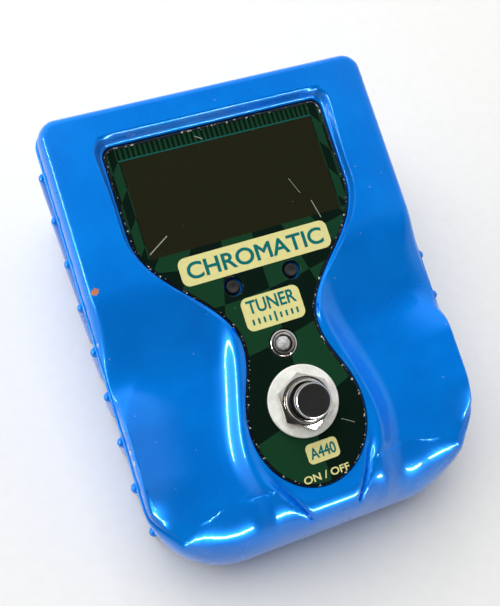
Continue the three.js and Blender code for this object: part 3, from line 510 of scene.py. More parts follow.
def edge_ring(e, inset=0.0):
    """One ring of the rounded edge, at a distance e from the skirt at each station."""
    lower = wall_z + (crease_z - wall_z) * quarter(e / ledge)
    upper = crease_z + (crest_z - crease_z) * quarter((e - ledge) / np.maximum(width - ledge, 0.1))
    side_z = np.where(e < ledge, lower, upper)
    bulge = (1 - (1 - np.clip(e / roll, 0, 1)) ** LIP_BULGE) ** (1 / LIP_BULGE)
    front_z = lerp(FRONT_WALL_TOP, crest_z, bulge)
    place = out + inward * (e + inset)[:, None]
    return np.column_stack((place, lerp(side_z, front_z, front_share)))


def level_ring(inset, z):
    place = out + inward * inset
    return np.column_stack((place, np.broadcast_to(z, len(out))))


LEDGE_RINGS, ROUND_RINGS, FACE_RINGS, CROWDING = 7, 16, 64, 1.6
rings = []
under = [edge_ring(width * share, WALL) for share in (1, 0.65, 0.2, 0)]
for ring in under:
    ring[:, 2] = np.minimum(ring[:, 2] - WALL, plane_z(ring[:, 1]) + CEILING)
rings += under
rings.append(level_ring(WALL, CASE_BOTTOM))
rings.append(level_ring(0.0, CASE_BOTTOM))
QUARTER_TURN = math.pi / 2
rings += [edge_ring(ledge * (1 - math.cos(t))) for t in np.linspace(0, QUARTER_TURN, LEDGE_RINGS)[:-1]]
for t in np.linspace(0, QUARTER_TURN, ROUND_RINGS):
    rings.append(edge_ring(ledge + (width - ledge) * (1 - math.cos(t))))
crest = rings[-1]
pocket_xyz = np.column_stack(on_face(pocket_uv[:, 0], pocket_uv[:, 1], 0))
for share in 1 - (1 - np.linspace(0, 1, FACE_RINGS)[1:]) ** CROWDING:
    ring = lerp(crest[:, :2], pocket_xyz[:, :2], share)
    rings.append(np.column_stack((ring, plane_z(ring[:, 1]) + face_height(ring[:, 0], ring[:, 1]))))

# The front lip is eased into the dishes, and then the grooves are cut.
LIP_FIRST, EASING_PASSES, EASING_RATE = len(under) + 2, 24, 0.25
upper = np.array(rings[LIP_FIRST:])
row = np.arange(len(upper))[:, None]
crest_row = LEDGE_RINGS - 1 + ROUND_RINGS - 1
EASED_BEFORE, EASED_AFTER = (11, 3), (6, 30)
before_crest = smooth(row, *(crest_row - rows_off for rows_off in EASED_BEFORE))
after_crest = 1 - smooth(row, *(crest_row + rows_off for rows_off in EASED_AFTER))
eased_by = front_share * before_crest * after_crest


def line_height(axis):
    """Height of the straight line between the two neighbours of each point."""
    before, after = np.roll(upper, 1, axis), np.roll(upper, -1, axis)
    to_before = np.hypot(*(upper - before)[:, :, :2].transpose(2, 0, 1))
    to_after = np.hypot(*(after - upper)[:, :, :2].transpose(2, 0, 1))
    reach = np.maximum(to_before + to_after, 1e-6)
    return (before[:, :, 2] * to_after + after[:, :, 2] * to_before) / reach


for _ in range(EASING_PASSES):
    change = line_height(0) + line_height(1) - 2 * upper[:, :, 2]
    upper[:, :, 2] += change * EASING_RATE * eased_by
upper[:, :, 2] -= groove_depth(upper[:, :, 0], upper[:, :, 1]) * smooth(row / crest_row, 0, 0.4)
rings[LIP_FIRST:] = list(upper)
POCKET_DEPTH = 2.3
rings.append(np.column_stack(on_face(pocket_uv[:, 0], pocket_uv[:, 1], -POCKET_DEPTH)))


def ring_faces(ring_count, count):
    index = np.arange(count)
    ahead = (index + 1) % count
    return np.vstack([
        np.column_stack((first + index, first + ahead, first + count + ahead, first + count + index))
        for first in range(0, (ring_count - 1) * count, count)
    ])


def cap(points, first, flip):
    """Triangles over one ring of points, wound for a cap that looks up or down."""
    flat = [Vector((point[0], point[1], 0)) for point in points]
    faces = []
    for a, b, c in tessellate_polygon([flat]):
        turn = (flat[b] - flat[a]).cross(flat[c] - flat[a]).z
        up = (a, b, c) if turn > 0 else (a, c, b)
        faces.append(tuple(first + i for i in (up[::-1] if flip else up)))
    return faces


count = len(out)
faces = [tuple(face) for face in ring_faces(len(rings), count)]
faces += cap(rings[0], 0, flip=True) + cap(rings[-1], (len(rings) - 1) * count, flip=False)
casing = new_piece("casing_shell", np.vstack(rings) * MM, faces)

# Openings through the wall: display, buttons, light and switch in the face, three at the rear.
BUTTON_U, BUTTON_V, BUTTON_R = 8.8, 1.2, 1.95
LED_V, LED_RING_R = -18.1, 3.8
SWITCH_V, BUSH_R = -35.0, 5.9
JACK_X, JACK_Z, JACK_THREAD, DC_THREAD = 28.0, 24.0, 4.6, 4.0
DISPLAY_V, DISPLAY_HALF = 29.5, (30.6, 18.1)
CUT = 2.0


def circle(u, v, radius, count=48):
    return arc((u, v), (radius, radius), 0, 360 * (1 - 1 / count), count)


def face_place(u0, v0):
    return lambda a, b, h: on_face(u0 + a, v0 + b, h)


def rear_place(x0):
    return lambda a, b, h: (x0 + b, REAR_Y + h, JACK_Z + a)


def prism(outline, low, high, place):
    """Corners and faces of a straight cutter over an outline."""
    n = len(outline)
    corners = [place(a, b, level) for level in (low, high) for a, b in outline]
    sides = [(i, (i + 1) % n, (i + 1) % n + n, i + n) for i in range(n)]
    return corners, [tuple(reversed(range(n))), tuple(range(n, 2 * n)), *sides]


display_corners = [(su * DISPLAY_HALF[0], sv * DISPLAY_HALF[1]) for su, sv in CORNERS]
bores = [(display_corners, CEILING - CUT, 0, face_place(0, DISPLAY_V))]
BUTTONS = [(side * BUTTON_U, BUTTON_V, BUTTON_R) for side in (-1, 1)]
for u, v, radius in (*BUTTONS, (0, LED_V, LED_RING_R), (0, SWITCH_V, BUSH_R)):
    bores.append((circle(0, 0, radius + GAP), CEILING - CUT, 0, face_place(u, v)))
for x, radius in ((-JACK_X, JACK_THREAD), (0, DC_THREAD), (JACK_X, JACK_THREAD)):
    bores.append((circle(0, 0, radius + GAP), -WALL - CUT, CUT, rear_place(x)))
cutter_points, cutter_faces = [], []
for outline, low, high, place in bores:
    corners, sides = prism(outline, low, high, place)
    cutter_faces += [tuple(i + len(cutter_points) for i in face) for face in sides]
    cutter_points += corners
cutter = new_piece("bore_cutter", np.array(cutter_points) * MM, cutter_faces, rounded=False)


def finished_mesh(piece):
    """A plain mesh of a piece with its modifiers or its letters worked out."""
    deps = bpy.context.evaluated_depsgraph_get()
    finished = piece.evaluated_get(deps)
    return bpy.data.meshes.new_from_object(finished, preserve_all_data_layers=True, depsgraph=deps)


face_out(casing)
face_out(cutter)
drill = casing.modifiers.new("bores", "BOOLEAN")
drill.object, drill.operation, drill.solver = cutter, "DIFFERENCE", "EXACT"
drilled = finished_mesh(casing)
casing.modifiers.clear()
casing.data = drilled
bpy.data.objects.remove(cutter)
casing.data.shade_smooth()

ENAMEL = (0.0, 0.25, 0.92, 1)
ENAMEL_DEEP = (0.0, 0.215, 0.84, 1)
ZINC = (0.72, 0.71, 0.68, 1)
PRIMER = (0.62, 0.22, 0.06, 1)
casing_finish = Finish("blue_enamel", Metallic=0.3, Coat_Weight=0.55, Coat_Roughness=0.04)
casing_finish.shader.inputs["Specular IOR Level"].default_value = 0.1
cloudy = casing_finish.noise(0.06, 3)
orange_peel = casing_finish.noise(0.9, 2)
ragged = casing_finish.noise(1.6, 4)
chips = None
# Knocks on the left edge: place on the casing in millimetres, and how far the paint is gone.
for knock, reach in (((-45.6, 13.0, 48.0), 1.1), ((-49.6, 0.4, 41.5), 1.0), ((-49.5, -4.2, 41.0), 0.9),
                     ((-47.8, -32.6, 40.0), 1.3), ((-49.0, -29.5, 40.6), 0.7)):
    away = casing_finish.make("VectorMath", {"operation": "DISTANCE"},
                              {0: casing_finish.place, 1: [c * MM for c in knock]}, "Value") / MM
    spot = (reach + (ragged - 0.5) * 2.2 - away).rise(0.0, 0.25)
    chips = spot if chips is None else chips.most(spot)
dust = casing_finish.scuffs(0.22, 0.055)
enamel = casing_finish.mix(cloudy.rise(0.35, 0.7), ENAMEL_DEEP, ENAMEL)
bare = casing_finish.mix(casing_finish.axis((0, 1, 0), (0, FACE_Y + 2, 0)).rise(0, 2), ZINC, PRIMER)
casing_finish.set(
    Base_Color=casing_finish.mix(chips, casing_finish.mix(dust * 0.35, enamel, ZINC), bare),
    Roughness=0.25 + cloudy * 0.06 + chips * 0.3,
)
casing_finish.bump(orange_peel * 0.35 - chips * 6, 0.006)
casing.data.materials.append(casing_finish.material)
casing.data.set_sharp_from_angle(angle=math.radians(40))


def stand_for(piece, body, slot, *nodes):
    """The piece rides on a body and hides the nodes it stands for. The slot is not used."""
    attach(piece, body)
    if nodes:
        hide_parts(*nodes)


stand_for(casing, "housing", "blue_paint", "top_casing")

# ---- Ribs on the skirt -------------------------------------------------------------------
# Half-round beads cast with the casing, upright on each side wall, nine to a side. Each stops
# in a round end just under the rim, and they take the same enamel.
RIB_COUNT, RIB_PITCH, RIB_FIRST = 9, 12.65, 46.6
rib_feet, rib_heights = [], []
skirt_line, _ = along(skirt_path, np.linspace(0.2, 1, 3000))
for step in range(RIB_COUNT):
    y = FACE_Y + RIB_FIRST - step * RIB_PITCH
    x, y = skirt_line[int(np.argmax(skirt_line[:, 1] <= y))]
    ledge_z = CORNER_WALL_TOP if abs(x) < HALF_WIDTH - 0.5 else plane_z(y) - RIM_DROP - RIM_ROUND
    for side in (-1, 1):
        rib_feet.append((-side * x, y, CASE_BOTTOM))
        rib_heights.append(ledge_z - RIB_R - CASE_BOTTOM)


class Growth(Board):
    """A geometry tree on a piece, with named inputs, that ends in one plain mesh."""

    def __init__(self, name, **sizes):
        self.group = bpy.data.node_groups.new(name, "GeometryNodeTree")
        super().__init__(self.group, "GeometryNode")
        self.sizes = sizes
        self.ends = {"Geometry": self.end("Geometry", "INPUT", "Geometry")}
        for size in sizes:
            self.ends[size] = self.end(size, "INPUT", "Float")
        self.end("Geometry", "OUTPUT", "Geometry")
        self.inlet = self.tree.nodes.new("NodeGroupInput")

    def end(self, name, way, kind):
        return self.group.interface.new_socket(name, in_out=way, socket_type="NodeSocket" + kind)

    def size(self, name):
        return Socket(self, self.inlet.outputs[name])

    def grow(self, piece_name, points, made, material, **columns):
        """Runs the tree on bare points with number columns and returns the finished piece."""
        whole = self.make("RealizeInstances", {}, {"Geometry": made})
        coated = self.make("SetMaterial", {}, {"Geometry": whole, "Material": material})
        outlet = self.tree.nodes.new("NodeGroupOutput")
        self.feed(outlet.inputs["Geometry"], coated)
        mesh = bpy.data.meshes.new(piece_name + "_points")
        mesh.from_pydata([tuple(c * MM for c in point) for point in points], [], [])
        for column, values in columns.items():
            mesh.attributes.new(column, "FLOAT", "POINT").data.foreach_set("value", values)
        seed = put(piece_name + "_seed", mesh)
        growth = seed.modifiers.new("growth", "NODES")
        growth.node_group = self.group
        for size, value in self.sizes.items():
            growth[self.ends[size].identifier] = value * MM
        grown = finished_mesh(seed)
        bpy.data.objects.remove(seed)
        return put(piece_name, grown)


rib_tree = Growth("rib_growth", Radius=RIB_R)
tall = rib_tree.make("InputNamedAttribute", {"data_type": "FLOAT"}, {"Name": "tall"})
stretch = rib_tree.make("CombineXYZ", {}, {"X": 1.0, "Y": 1.0, "Z": tall * (1 / MM)})
RIB_SIDES, KNOB_ROWS = 20, 12
feet, radius = rib_tree.size("Geometry"), rib_tree.size("Radius")
post_sizes = {"Vertices": RIB_SIDES, "Radius": radius, "Depth": MM}
post = rib_tree.make("MeshCylinder", {"fill_type": "NONE"}, post_sizes)
post = rib_tree.make("Transform", {}, {"Geometry": post, "Translation": (0, 0, MM / 2)})
post = rib_tree.make("InstanceOnPoints", {}, {"Points": feet, "Instance": post, "Scale": stretch})
rise = rib_tree.make("CombineXYZ", {}, {"Z": tall})
tops = rib_tree.make("SetPosition", {}, {"Geometry": feet, "Offset": rise})
knob = rib_tree.make("MeshUVSphere", {}, {"Segments": RIB_SIDES, "Rings": KNOB_ROWS, "Radius": radius})
knob = rib_tree.make("InstanceOnPoints", {}, {"Points": tops, "Instance": knob})
both = rib_tree.make("JoinGeometry", {}, {})
rib_tree.feed(both.end.node.inputs[0], post)
rib_tree.feed(both.end.node.inputs[0], knob)
tall_of_ribs = [height * MM for height in rib_heights]
ribs = rib_tree.grow("casing_ribs", rib_feet, both, casing_finish.material, tall=tall_of_ribs)
ribs.data.shade_smooth()
stand_for(ribs, "housing", "blue_paint")

# ---- Overlay -----------------------------------------------------------------------------
# A clear gloss panel printed from behind in two greens, glued into the pocket of the face. Its
# cut edge is dark and chipped, and a window is left in the print over the display.
OVERLAY_THICK = 2.0
BUTTON_WINDOW = 0.75
HOLES = [(u, v, radius + BUTTON_WINDOW) for u, v, radius in BUTTONS]
HOLES += [(0, LED_V, LED_RING_R + GAP), (0, SWITCH_V, BUSH_R + GAP)]


def panel(name, outline, holes, levels):
    """A flat plate on the face with holes, its edges bevelled by rows of (inset, height)."""
    loops = [outline] + [circle(*hole) for hole in holes]
    vertices, faces, starts = [], [], []
    for number, loop in enumerate(loops):
        before, after = np.roll(loop, 1, axis=0), np.roll(loop, -1, axis=0)
        way = after - before
        inner = np.column_stack((-way[:, 1], way[:, 0])) / np.hypot(*way.T)[:, None]
        inner = inner if number == 0 else -inner
        start = len(vertices)
        for inset, level in levels:
            moved = loop + inner * inset
            vertices += [on_face(u, v, level) for u, v in moved]
        n = len(loop)
        for quad in ring_faces(len(levels), n):
            face = [start + i for i in quad]
            faces.append(face if number == 0 else face[::-1])
        starts.append((start, n, loop, inner))
    for row, flip in ((0, True), (len(levels) - 1, False)):
        inset = levels[row][0]
        flat = [[Vector((u, v, 0)) for u, v in loop + inner * inset] for _, _, loop, inner in starts]
        index = [start + row * n + i for start, n, _, _ in starts for i in range(n)]
        points = [point for loop in flat for point in loop]
        for a, b, c in tessellate_polygon(flat):
            turn = (points[b] - points[a]).cross(points[c] - points[a]).z
            up = (a, b, c) if turn > 0 else (a, c, b)
            faces.append([index[i] for i in (up[::-1] if flip else up)])
    return new_piece(name, np.array(vertices) * MM, faces)


overlay_levels = ((0, -OVERLAY_THICK), (0, -0.3), (0.05, -0.12), (0.16, -0.02), (0.3, 0.0), (0.8, 0.0))
overlay = panel("overlay_face", overlay_edge, HOLES, overlay_levels)
overlay.data.set_sharp_from_angle(angle=math.radians(50))
overlay_finish = Finish("overlay_print", Coat_Weight=0.3, Coat_Roughness=0.02, Specular_IOR_Level=0.15)
GREEN_DARK, GREEN_LIGHT = (0.003, 0.011, 0.007, 1), (0.008, 0.045, 0.019, 1)
TEAL, GLASS_DARK = (0.008, 0.1, 0.085, 1), (0.015, 0.016, 0.007, 1)
across = overlay_finish.axis((1, 0, 0))
up = overlay_finish.axis((0, TILT_COS, TILT_SIN), (0, FACE_Y, FACE_Z))


def checks(a, b):
    """1 and 0 by turns over the cells of two measures."""
    cell = a.math("FLOOR") + b.math("FLOOR")
    return (cell - (cell * 0.5).math("FLOOR") * 2).magnitude().above(0.5)


# The cells grow towards the foot and bend round its middle, like a checked ball seen from close by.
CHECKS_TOP, CHECKS_MIDDLE = 17.0, 1.0
CELL_WIDE, CELL_TALL, WIDENING, LENGTHENING, LEAN, BOW = 8.5, 7.42, 0.26, 0.115, 0.006, 0.004
SHIFT_UP = 20  # keeps every cell's number above 0
growth = (CHECKS_TOP - up).most(0.0)
columns = (across - CHECKS_MIDDLE) / (CELL_WIDE + growth * WIDENING)
bent = growth * (1 + across * LEAN) + across * across * BOW
rows = bent / (CELL_TALL + bent * LENGTHENING)
body_cells = checks(columns + SHIFT_UP, rows + SHIFT_UP)
TICK_PRINT, SIDE_CELL_TALL, SIDE_CELL_WIDE, SIDE_SLANT = 1.46, 8.5, 2.4, 1.4
GLASS_HALF, GLASS_LOW, GLASS_HIGH = 28.9, 14.6, 43.75
LINE_HALF, LINE_LOW, LINE_HIGH = 29.2, 43.7, 44.15
TICKS_HALF, TICKS_LOW, SIDES_LOW = 29.6, 44.1, 15.0
off_middle = across.magnitude()
tick_cells = (across / TICK_PRINT).math("FRACT").above(0.5)
side_rows = (up + off_middle * SIDE_SLANT) / SIDE_CELL_TALL + SHIFT_UP * 2
side_cells = checks(side_rows, (off_middle - LINE_HALF) / SIDE_CELL_WIDE)
in_ticks = up.above(TICKS_LOW) * (TICKS_HALF - off_middle).above(0)
in_sides = off_middle.above(GLASS_HALF) * up.above(SIDES_LOW)
pattern = overlay_finish.mix(body_cells, GREEN_DARK, GREEN_LIGHT)
pattern = overlay_finish.mix(in_sides, pattern, overlay_finish.mix(side_cells, GREEN_DARK, GREEN_LIGHT))
pattern = overlay_finish.mix(in_ticks, pattern, overlay_finish.mix(tick_cells, GREEN_DARK, GREEN_LIGHT))
teal_line = up.above(LINE_LOW) * (LINE_HIGH - up).above(0) * (LINE_HALF - off_middle).above(0)
pattern = overlay_finish.mix(teal_line, pattern, TEAL)
window = up.above(GLASS_LOW) * (GLASS_HIGH - up).above(0) * (GLASS_HALF - off_middle).above(0)
pattern = overlay_finish.mix(window, pattern, GLASS_DARK)
specks = overlay_finish.scuffs(0.3, 0.06) * overlay_finish.noise(0.05, 2).rise(0.45, 0.6)
pattern = overlay_finish.mix(specks * 0.6, pattern, (0.25, 0.26, 0.16, 1))


def scratch(u0, v0, u1, v1, half):
    """1 on a hair line between two places on the face."""
    du, dv = u1 - u0, v1 - v0
    length = math.hypot(du, dv)
    over, over_up = across - u0, up - v0
    reach = (over * du + over_up * dv) * (1 / length)
    off = ((over * dv - over_up * du) * (1 / length)).magnitude()
    return (half - off).above(0) * reach.above(0) * (length - reach).above(0)


scratches = None
for line in ((-22.4, 20.0, -28.5, 16.1, 0.13), (21.0, 19.1, 22.2, 13.5, 0.1), (-6.3, 46.0, -4.2, 44.6, 0.1),
             (24.5, -30.0, 27.0, -33.0, 0.1), (9.0, -43.0, 12.5, -45.2, 0.07),
             (16.5, 27.0, 18.5, 22.0, 0.06)):
    hair = scratch(*line)
    scratches = hair if scratches is None else scratches.most(hair)
pattern = overlay_finish.mix(scratches * 0.7, pattern, (0.5, 0.52, 0.45, 1))
overlay_finish.set(Base_Color=pattern, Roughness=0.08 + specks.most(scratches) * 0.4)
overlay.data.materials.append(overlay_finish.material)
edge_finish = Finish("overlay_cut_edge", Coat_Weight=1.0, Coat_Roughness=0.03)
nicks = edge_finish.noise(1.1, 4).rise(0.6, 0.66)
EDGE_INK, EDGE_CHIP = (0.004, 0.004, 0.006, 1), (0.6, 0.58, 0.52, 1)
edge_finish.set(Base_Color=edge_finish.mix(nicks, EDGE_INK, EDGE_CHIP), Roughness=0.2 + nicks * 0.4)
edge_finish.bump(nicks, 0.08)
overlay.data.materials.append(edge_finish.material)
rim_faces = (len(overlay_levels) - 1) * len(overlay_edge)
for face in overlay.data.polygons:
    face.material_index = int(face.index < rim_faces)
stand_for(overlay, "housing", "overlay_print", "overlay_panel")

# ---- Labels ------------------------------------------------------------------------------
# Plain words printed in cream and teal on the overlay: rounded cream plates with teal letters,
# and one line of cream letters at the foot.
PRINT_LIFT, ON_PLATE, WORD_THICK, PLATE_THICK = 0.04, 0.03, 0.02, 0.03


def ink(name, fresh, thin):
    """A printing ink that lies a little thinner in places."""
    finish = Finish(name, Roughness=0.25, Coat_Weight=1.0)
    finish.set(Base_Color=finish.mix(finish.noise(0.8, 2), fresh, thin))
    return finish


cream_finish = ink("cream_print", (0.82, 0.76, 0.32, 1), (0.7, 0.66, 0.28, 1))
teal_finish = ink("teal_print", (0.0, 0.17, 0.16, 1), (0.0, 0.13, 0.13, 1))


def word(name, text, width, tall, u, v, lift, finish):
    """A word as a thin flat print on the face, fitted to a width and a height."""
    curve = bpy.data.curves.new(name, "FONT")
    curve.body = text
    curve.align_x = "CENTER"
    curve.extrude = 0.01
    curve.bevel_depth = 0.022
    letters = put(name + "_text", curve)
    mesh = finished_mesh(letters)
    bpy.data.objects.remove(letters)
    flat = np.array([corner.co for corner in mesh.vertices])
    low, high = flat.min(0), flat.max(0)
    share = (flat - (low + high) / 2) / (high - low)
    placed = on_face(u + share[:, 0] * width, v + share[:, 1] * tall, lift + share[:, 2] * WORD_THICK)
    mesh.vertices.foreach_set("co", (np.column_stack(placed) * MM).ravel())
    mesh.update()
    mesh.materials.clear()
    mesh.materials.append(finish.material)
    stand_for(put(name, mesh), "housing", "overlay_print")


def plate(name, width, tall, u, v, lift, finish, round_by=1.4):
    """A thin flat print with rounded corners on the face."""
    half_w, half_t = width / 2 - round_by, tall / 2 - round_by
    outline = np.vstack([arc((u + sx * half_w, v + sy * half_t), (round_by, round_by), start, start + 90, 10)
                         for sx, sy, start in ((1, 1, 0), (-1, 1, 90), (-1, -1, 180), (1, -1, 270))])
    piece = panel(name, outline, (), ((0, lift - PLATE_THICK), (0, lift)))
    piece.data.set_sharp_from_angle(angle=math.radians(30))
    piece.data.materials.append(finish.material)
    stand_for(piece, "housing", "overlay_print")


plate("label_plate_main", 45, 8.2, 0.4, 8.6, PRINT_LIFT, cream_finish, 2.2)
word("label_main", "CHROMATIC", 41, 4.9, 0.4, 8.6, PRINT_LIFT + ON_PLATE, teal_finish)
plate("label_plate_middle", 17.5, 9.6, 0.2, -7.8, PRINT_LIFT, cream_finish, 2.0)
word("label_middle", "TUNER", 14.6, 3.9, 0.2, -5.9, PRINT_LIFT + ON_PLATE, teal_finish)
TICKS_EACH_WAY, TICK_PITCH, TICK_WIDE, TICK_ROUND = 4, 1.65, 0.6, 0.25
for tick in range(-TICKS_EACH_WAY, TICKS_EACH_WAY + 1):
    tick_tall = 3.0 if tick == 0 else 1.7
    tick_u = 0.2 + tick * TICK_PITCH
    tick_name = f"label_tick_{tick + TICKS_EACH_WAY + 1}"
    plate(tick_name, TICK_WIDE, tick_tall, tick_u, -10.2, PRINT_LIFT + 0.05, teal_finish, TICK_ROUND)
plate("label_plate_foot", 9.4, 5.6, 1.1, -49.6, PRINT_LIFT, cream_finish, 1.4)
word("label_foot_key", "A440", 7.6, 3.2, 1.1, -49.6, PRINT_LIFT + ON_PLATE, teal_finish)
word("label_foot", "ON / OFF", 13.6, 2.1, 0.2, -55.9, PRINT_LIFT, cream_finish)

# ---- Menu buttons ------------------------------------------------------------------------
# Two small black moulded plungers, sunk in round holes of the face between the window and the
# light. Each is pushed down onto a switch on the board.
def closed(piece, sharp, finish):
    """Finishes a closed piece: faces out, edges sharp past an angle in degrees, and its material."""
    face_out(piece)
    piece.data.set_sharp_from_angle(angle=math.radians(sharp))
    piece.data.materials.append(finish.material)
    return piece


def turned(name, profile, place, finish, segments=64, sharp=35):
    """A closed turned piece from (radius, height) rows, set by a place function."""
    vertices, rows = [], []
    for radius, level in profile:
        if radius < 1e-6:
            rows.append([len(vertices)])
            vertices.append(place(0, 0, level))
        else:
            ring = circle(0, 0, radius, segments)
            rows.append(list(range(len(vertices), len(vertices) + segments)))
            vertices += [place(a, b, level) for a, b in ring]
    faces = []
    pairs = list(zip(rows, rows[1:])) + ([(rows[-1], rows[0])] if len(rows[0]) > 1 else [])
    for low, high in pairs:
        for i in range(segments):
            k = (i + 1) % segments
            face = [low[i % len(low)], low[k % len(low)], high[k % len(high)], high[i % len(high)]]
            face = list(dict.fromkeys(face))
            if len(face) > 2:
                faces.append(face)
    piece = new_piece(name, np.array(vertices) * MM, faces)
    return closed(piece, sharp, finish)


black_finish = Finish("black_moulding", Coat_Weight=0.2)
black_finish.dress(black_finish.noise(2.5, 3), (grey(0.012), grey(0.022)), 0.3, 0.2, 0.02)
BUTTON_TOP, BUTTON_FOOT, FLANGE_R, FLANGE_TOP = -0.6, -7.8, 2.6, CEILING - GAP
button_profile = ((0, BUTTON_FOOT), (FLANGE_R, BUTTON_FOOT), (FLANGE_R, FLANGE_TOP), (BUTTON_R, FLANGE_TOP),
                  (BUTTON_R, BUTTON_TOP - 0.35), (1.8, BUTTON_TOP - 0.12), (1.5, BUTTON_TOP),
                  (1.1, BUTTON_TOP - 0.1), (0.5, BUTTON_TOP - 0.3), (0, BUTTON_TOP - 0.35))
for hand, (u, v, _) in zip(("left", "right"), BUTTONS):
    button = turned(f"button_{hand}", button_profile, face_place(u, v), black_finish, 40)
    stand_for(button, f"button_{hand}", "black_plastic", f"menu_button_{hand}")

# ---- Status light ------------------------------------------------------------------------
# A clear round light with a frosted core, held in a small bevelled chrome ring above the switch.
chrome_finish = Finish("bright_nickel", Metallic=1.0)
chrome_wear = chrome_finish.noise(0.5, 4)
chrome_lines = chrome_finish.noise(4.0, 2)
NICKEL, NICKEL_WORN = (0.78, 0.765, 0.74, 1), (0.66, 0.6, 0.52, 1)
chrome_finish.set(Base_Color=chrome_finish.mix(chrome_wear.rise(0.45, 0.75), NICKEL, NICKEL_WORN),
                  Roughness=0.09 + chrome_wear.rise(0.5, 0.8) * 0.14)
chrome_finish.bump(chrome_lines, 0.004)
LED_R, RING_TOP = 2.2, 0.35
bezel_profile = ((LED_R + GAP, -OVERLAY_THICK), (LED_RING_R, -OVERLAY_THICK), (LED_RING_R, 0.05),
                 (LED_RING_R - 0.15, 0.22), (LED_RING_R - 0.5, RING_TOP), (LED_RING_R - 0.8, RING_TOP),
                 (LED_R + 0.5, -0.1), (LED_R + GAP, -0.35))
led_ring = turned("light_ring", bezel_profile, face_place(0, LED_V), chrome_finish)
stand_for(led_ring, "housing", "chrome", "led_ring")
lens_finish = Finish("clear_lens", Transmission_Weight=0.35, Coat_Weight=1.0)
lens_core = lens_finish.noise(0.9, 3)
LENS_GREY, LENS_WHITE = (0.5, 0.52, 0.54, 1), (0.95, 0.95, 0.93, 1)
lens_finish.dress(lens_core, (LENS_GREY, LENS_WHITE), 0.06, 0.05, 0.05, tint=lens_core.rise(0.35, 0.65))
LENS_TOP, LENS_FOOT, COLLAR_WIDE, COLLAR_TALL = 0.9, -6.0, 0.4, 1
lens_profile = [(0, LENS_FOOT), (LED_R + COLLAR_WIDE, LENS_FOOT)]
lens_profile += [(LED_R + COLLAR_WIDE, LENS_FOOT + COLLAR_TALL), (LED_R, LENS_FOOT + COLLAR_TALL)]
for t in np.linspace(0, QUARTER_TURN, 14)[:-1]:
    lens_profile.append((LED_R * math.cos(t), LENS_TOP - LED_R * (1 - math.sin(t))))
lens_profile.append((0, LENS_TOP))
lens = turned("light_lens", lens_profile, face_place(0, LED_V), lens_finish)
stand_for(lens, "housing", "clear_plastic", "status_led")

# ---- Footswitch --------------------------------------------------------------------------
# A heavy nickel-plated switch through the face: milky nylon washer, chamfered hexagon nut,
# threaded bush and a plunger with a dark, rougher flat top. The nut clamps it from above.
nylon_finish = Finish("milky_nylon", Coat_Weight=0.3, Subsurface_Weight=0.25, Subsurface_Scale=0.002)
nylon_cloud = nylon_finish.noise(0.35, 4)
NYLON, NYLON_DULL = (0.9, 0.88, 0.83, 1), (0.74, 0.72, 0.68, 1)
nylon_finish.dress(nylon_cloud, (NYLON, NYLON_DULL), 0.32, 0.2, 0.05, tint=nylon_cloud.rise(0.3, 0.7))
WASHER_R, WASHER_LOW, WASHER_HIGH = 10.15, GAP, 1.3
on_switch = face_place(0, SWITCH_V)
washer_profile = ((BUSH_R + GAP, WASHER_LOW), (WASHER_R - 0.15, WASHER_LOW), (WASHER_R, WASHER_LOW + 0.2),
                  (WASHER_R, WASHER_HIGH - 0.3), (WASHER_R - 0.3, WASHER_HIGH), (BUSH_R + 0.5, WASHER_HIGH),
                  (BUSH_R + GAP, WASHER_HIGH - 0.2))
washer = turned("switch_washer", washer_profile, on_switch, nylon_finish, 96)
stand_for(washer, "housing", "nylon", "footswitch_washer")


def hexagon_nut(name, place, wrench, bore, low, high, finish, turn=0.0):
    """A hexagon nut with both ends chamfered and a countersunk bore."""
    flat = wrench / 2
    bevel, chamfer, segments = 0.96 * flat, math.radians(28), 144
    angle = np.linspace(0, 2 * math.pi, segments, endpoint=False)
    edge = flat / np.cos((angle % (math.pi / 3)) - math.pi / 6)
    drop = (edge - bevel) * math.tan(chamfer)
    same = np.ones(segments)
    loops = ((bore * same, low * same + 0.25), ((bore + 0.3) * same, low * same), (bevel * same, low * same),
             (edge, low + drop), (edge, high - drop), (bevel * same, high * same),
             ((bore + 0.35) * same, high * same), (bore * same, high * same - 0.3))
    vertices = [place(r * math.cos(t + turn), r * math.sin(t + turn), z)
                for radii, levels in loops for r, z, t in zip(radii, levels, angle)]
    faces = [list(face) for face in ring_faces(len(loops), segments)]
    last = (len(loops) - 1) * segments
    faces += [[last + i, last + (i + 1) % segments, (i + 1) % segments, i] for i in range(segments)]
    piece = new_piece(name, np.array(vertices) * MM, faces)
    return closed(piece, 24, finish)


NUT_WRENCH, NUT_LOW, NUT_HIGH = 14.0, 1.6, 4.6
ON_THREAD = 0.05
nut = hexagon_nut("switch_nut", on_switch, NUT_WRENCH, BUSH_R + ON_THREAD, NUT_LOW, NUT_HIGH, chrome_finish,
                  turn=math.pi / 6)
stand_for(nut, "housing", "chrome", "footswitch_hex_nut")


def threads(radius, low, high, pitch, deep):
    """Rows of (radius, height) for the turns of a fine thread."""
    rows = []
    for turn in range(int((high - low) / pitch)):
        start = low + turn * pitch
        rows += [(radius, start), (radius, start + 0.3 * pitch), (radius - deep, start + 0.6 * pitch)]
    return rows


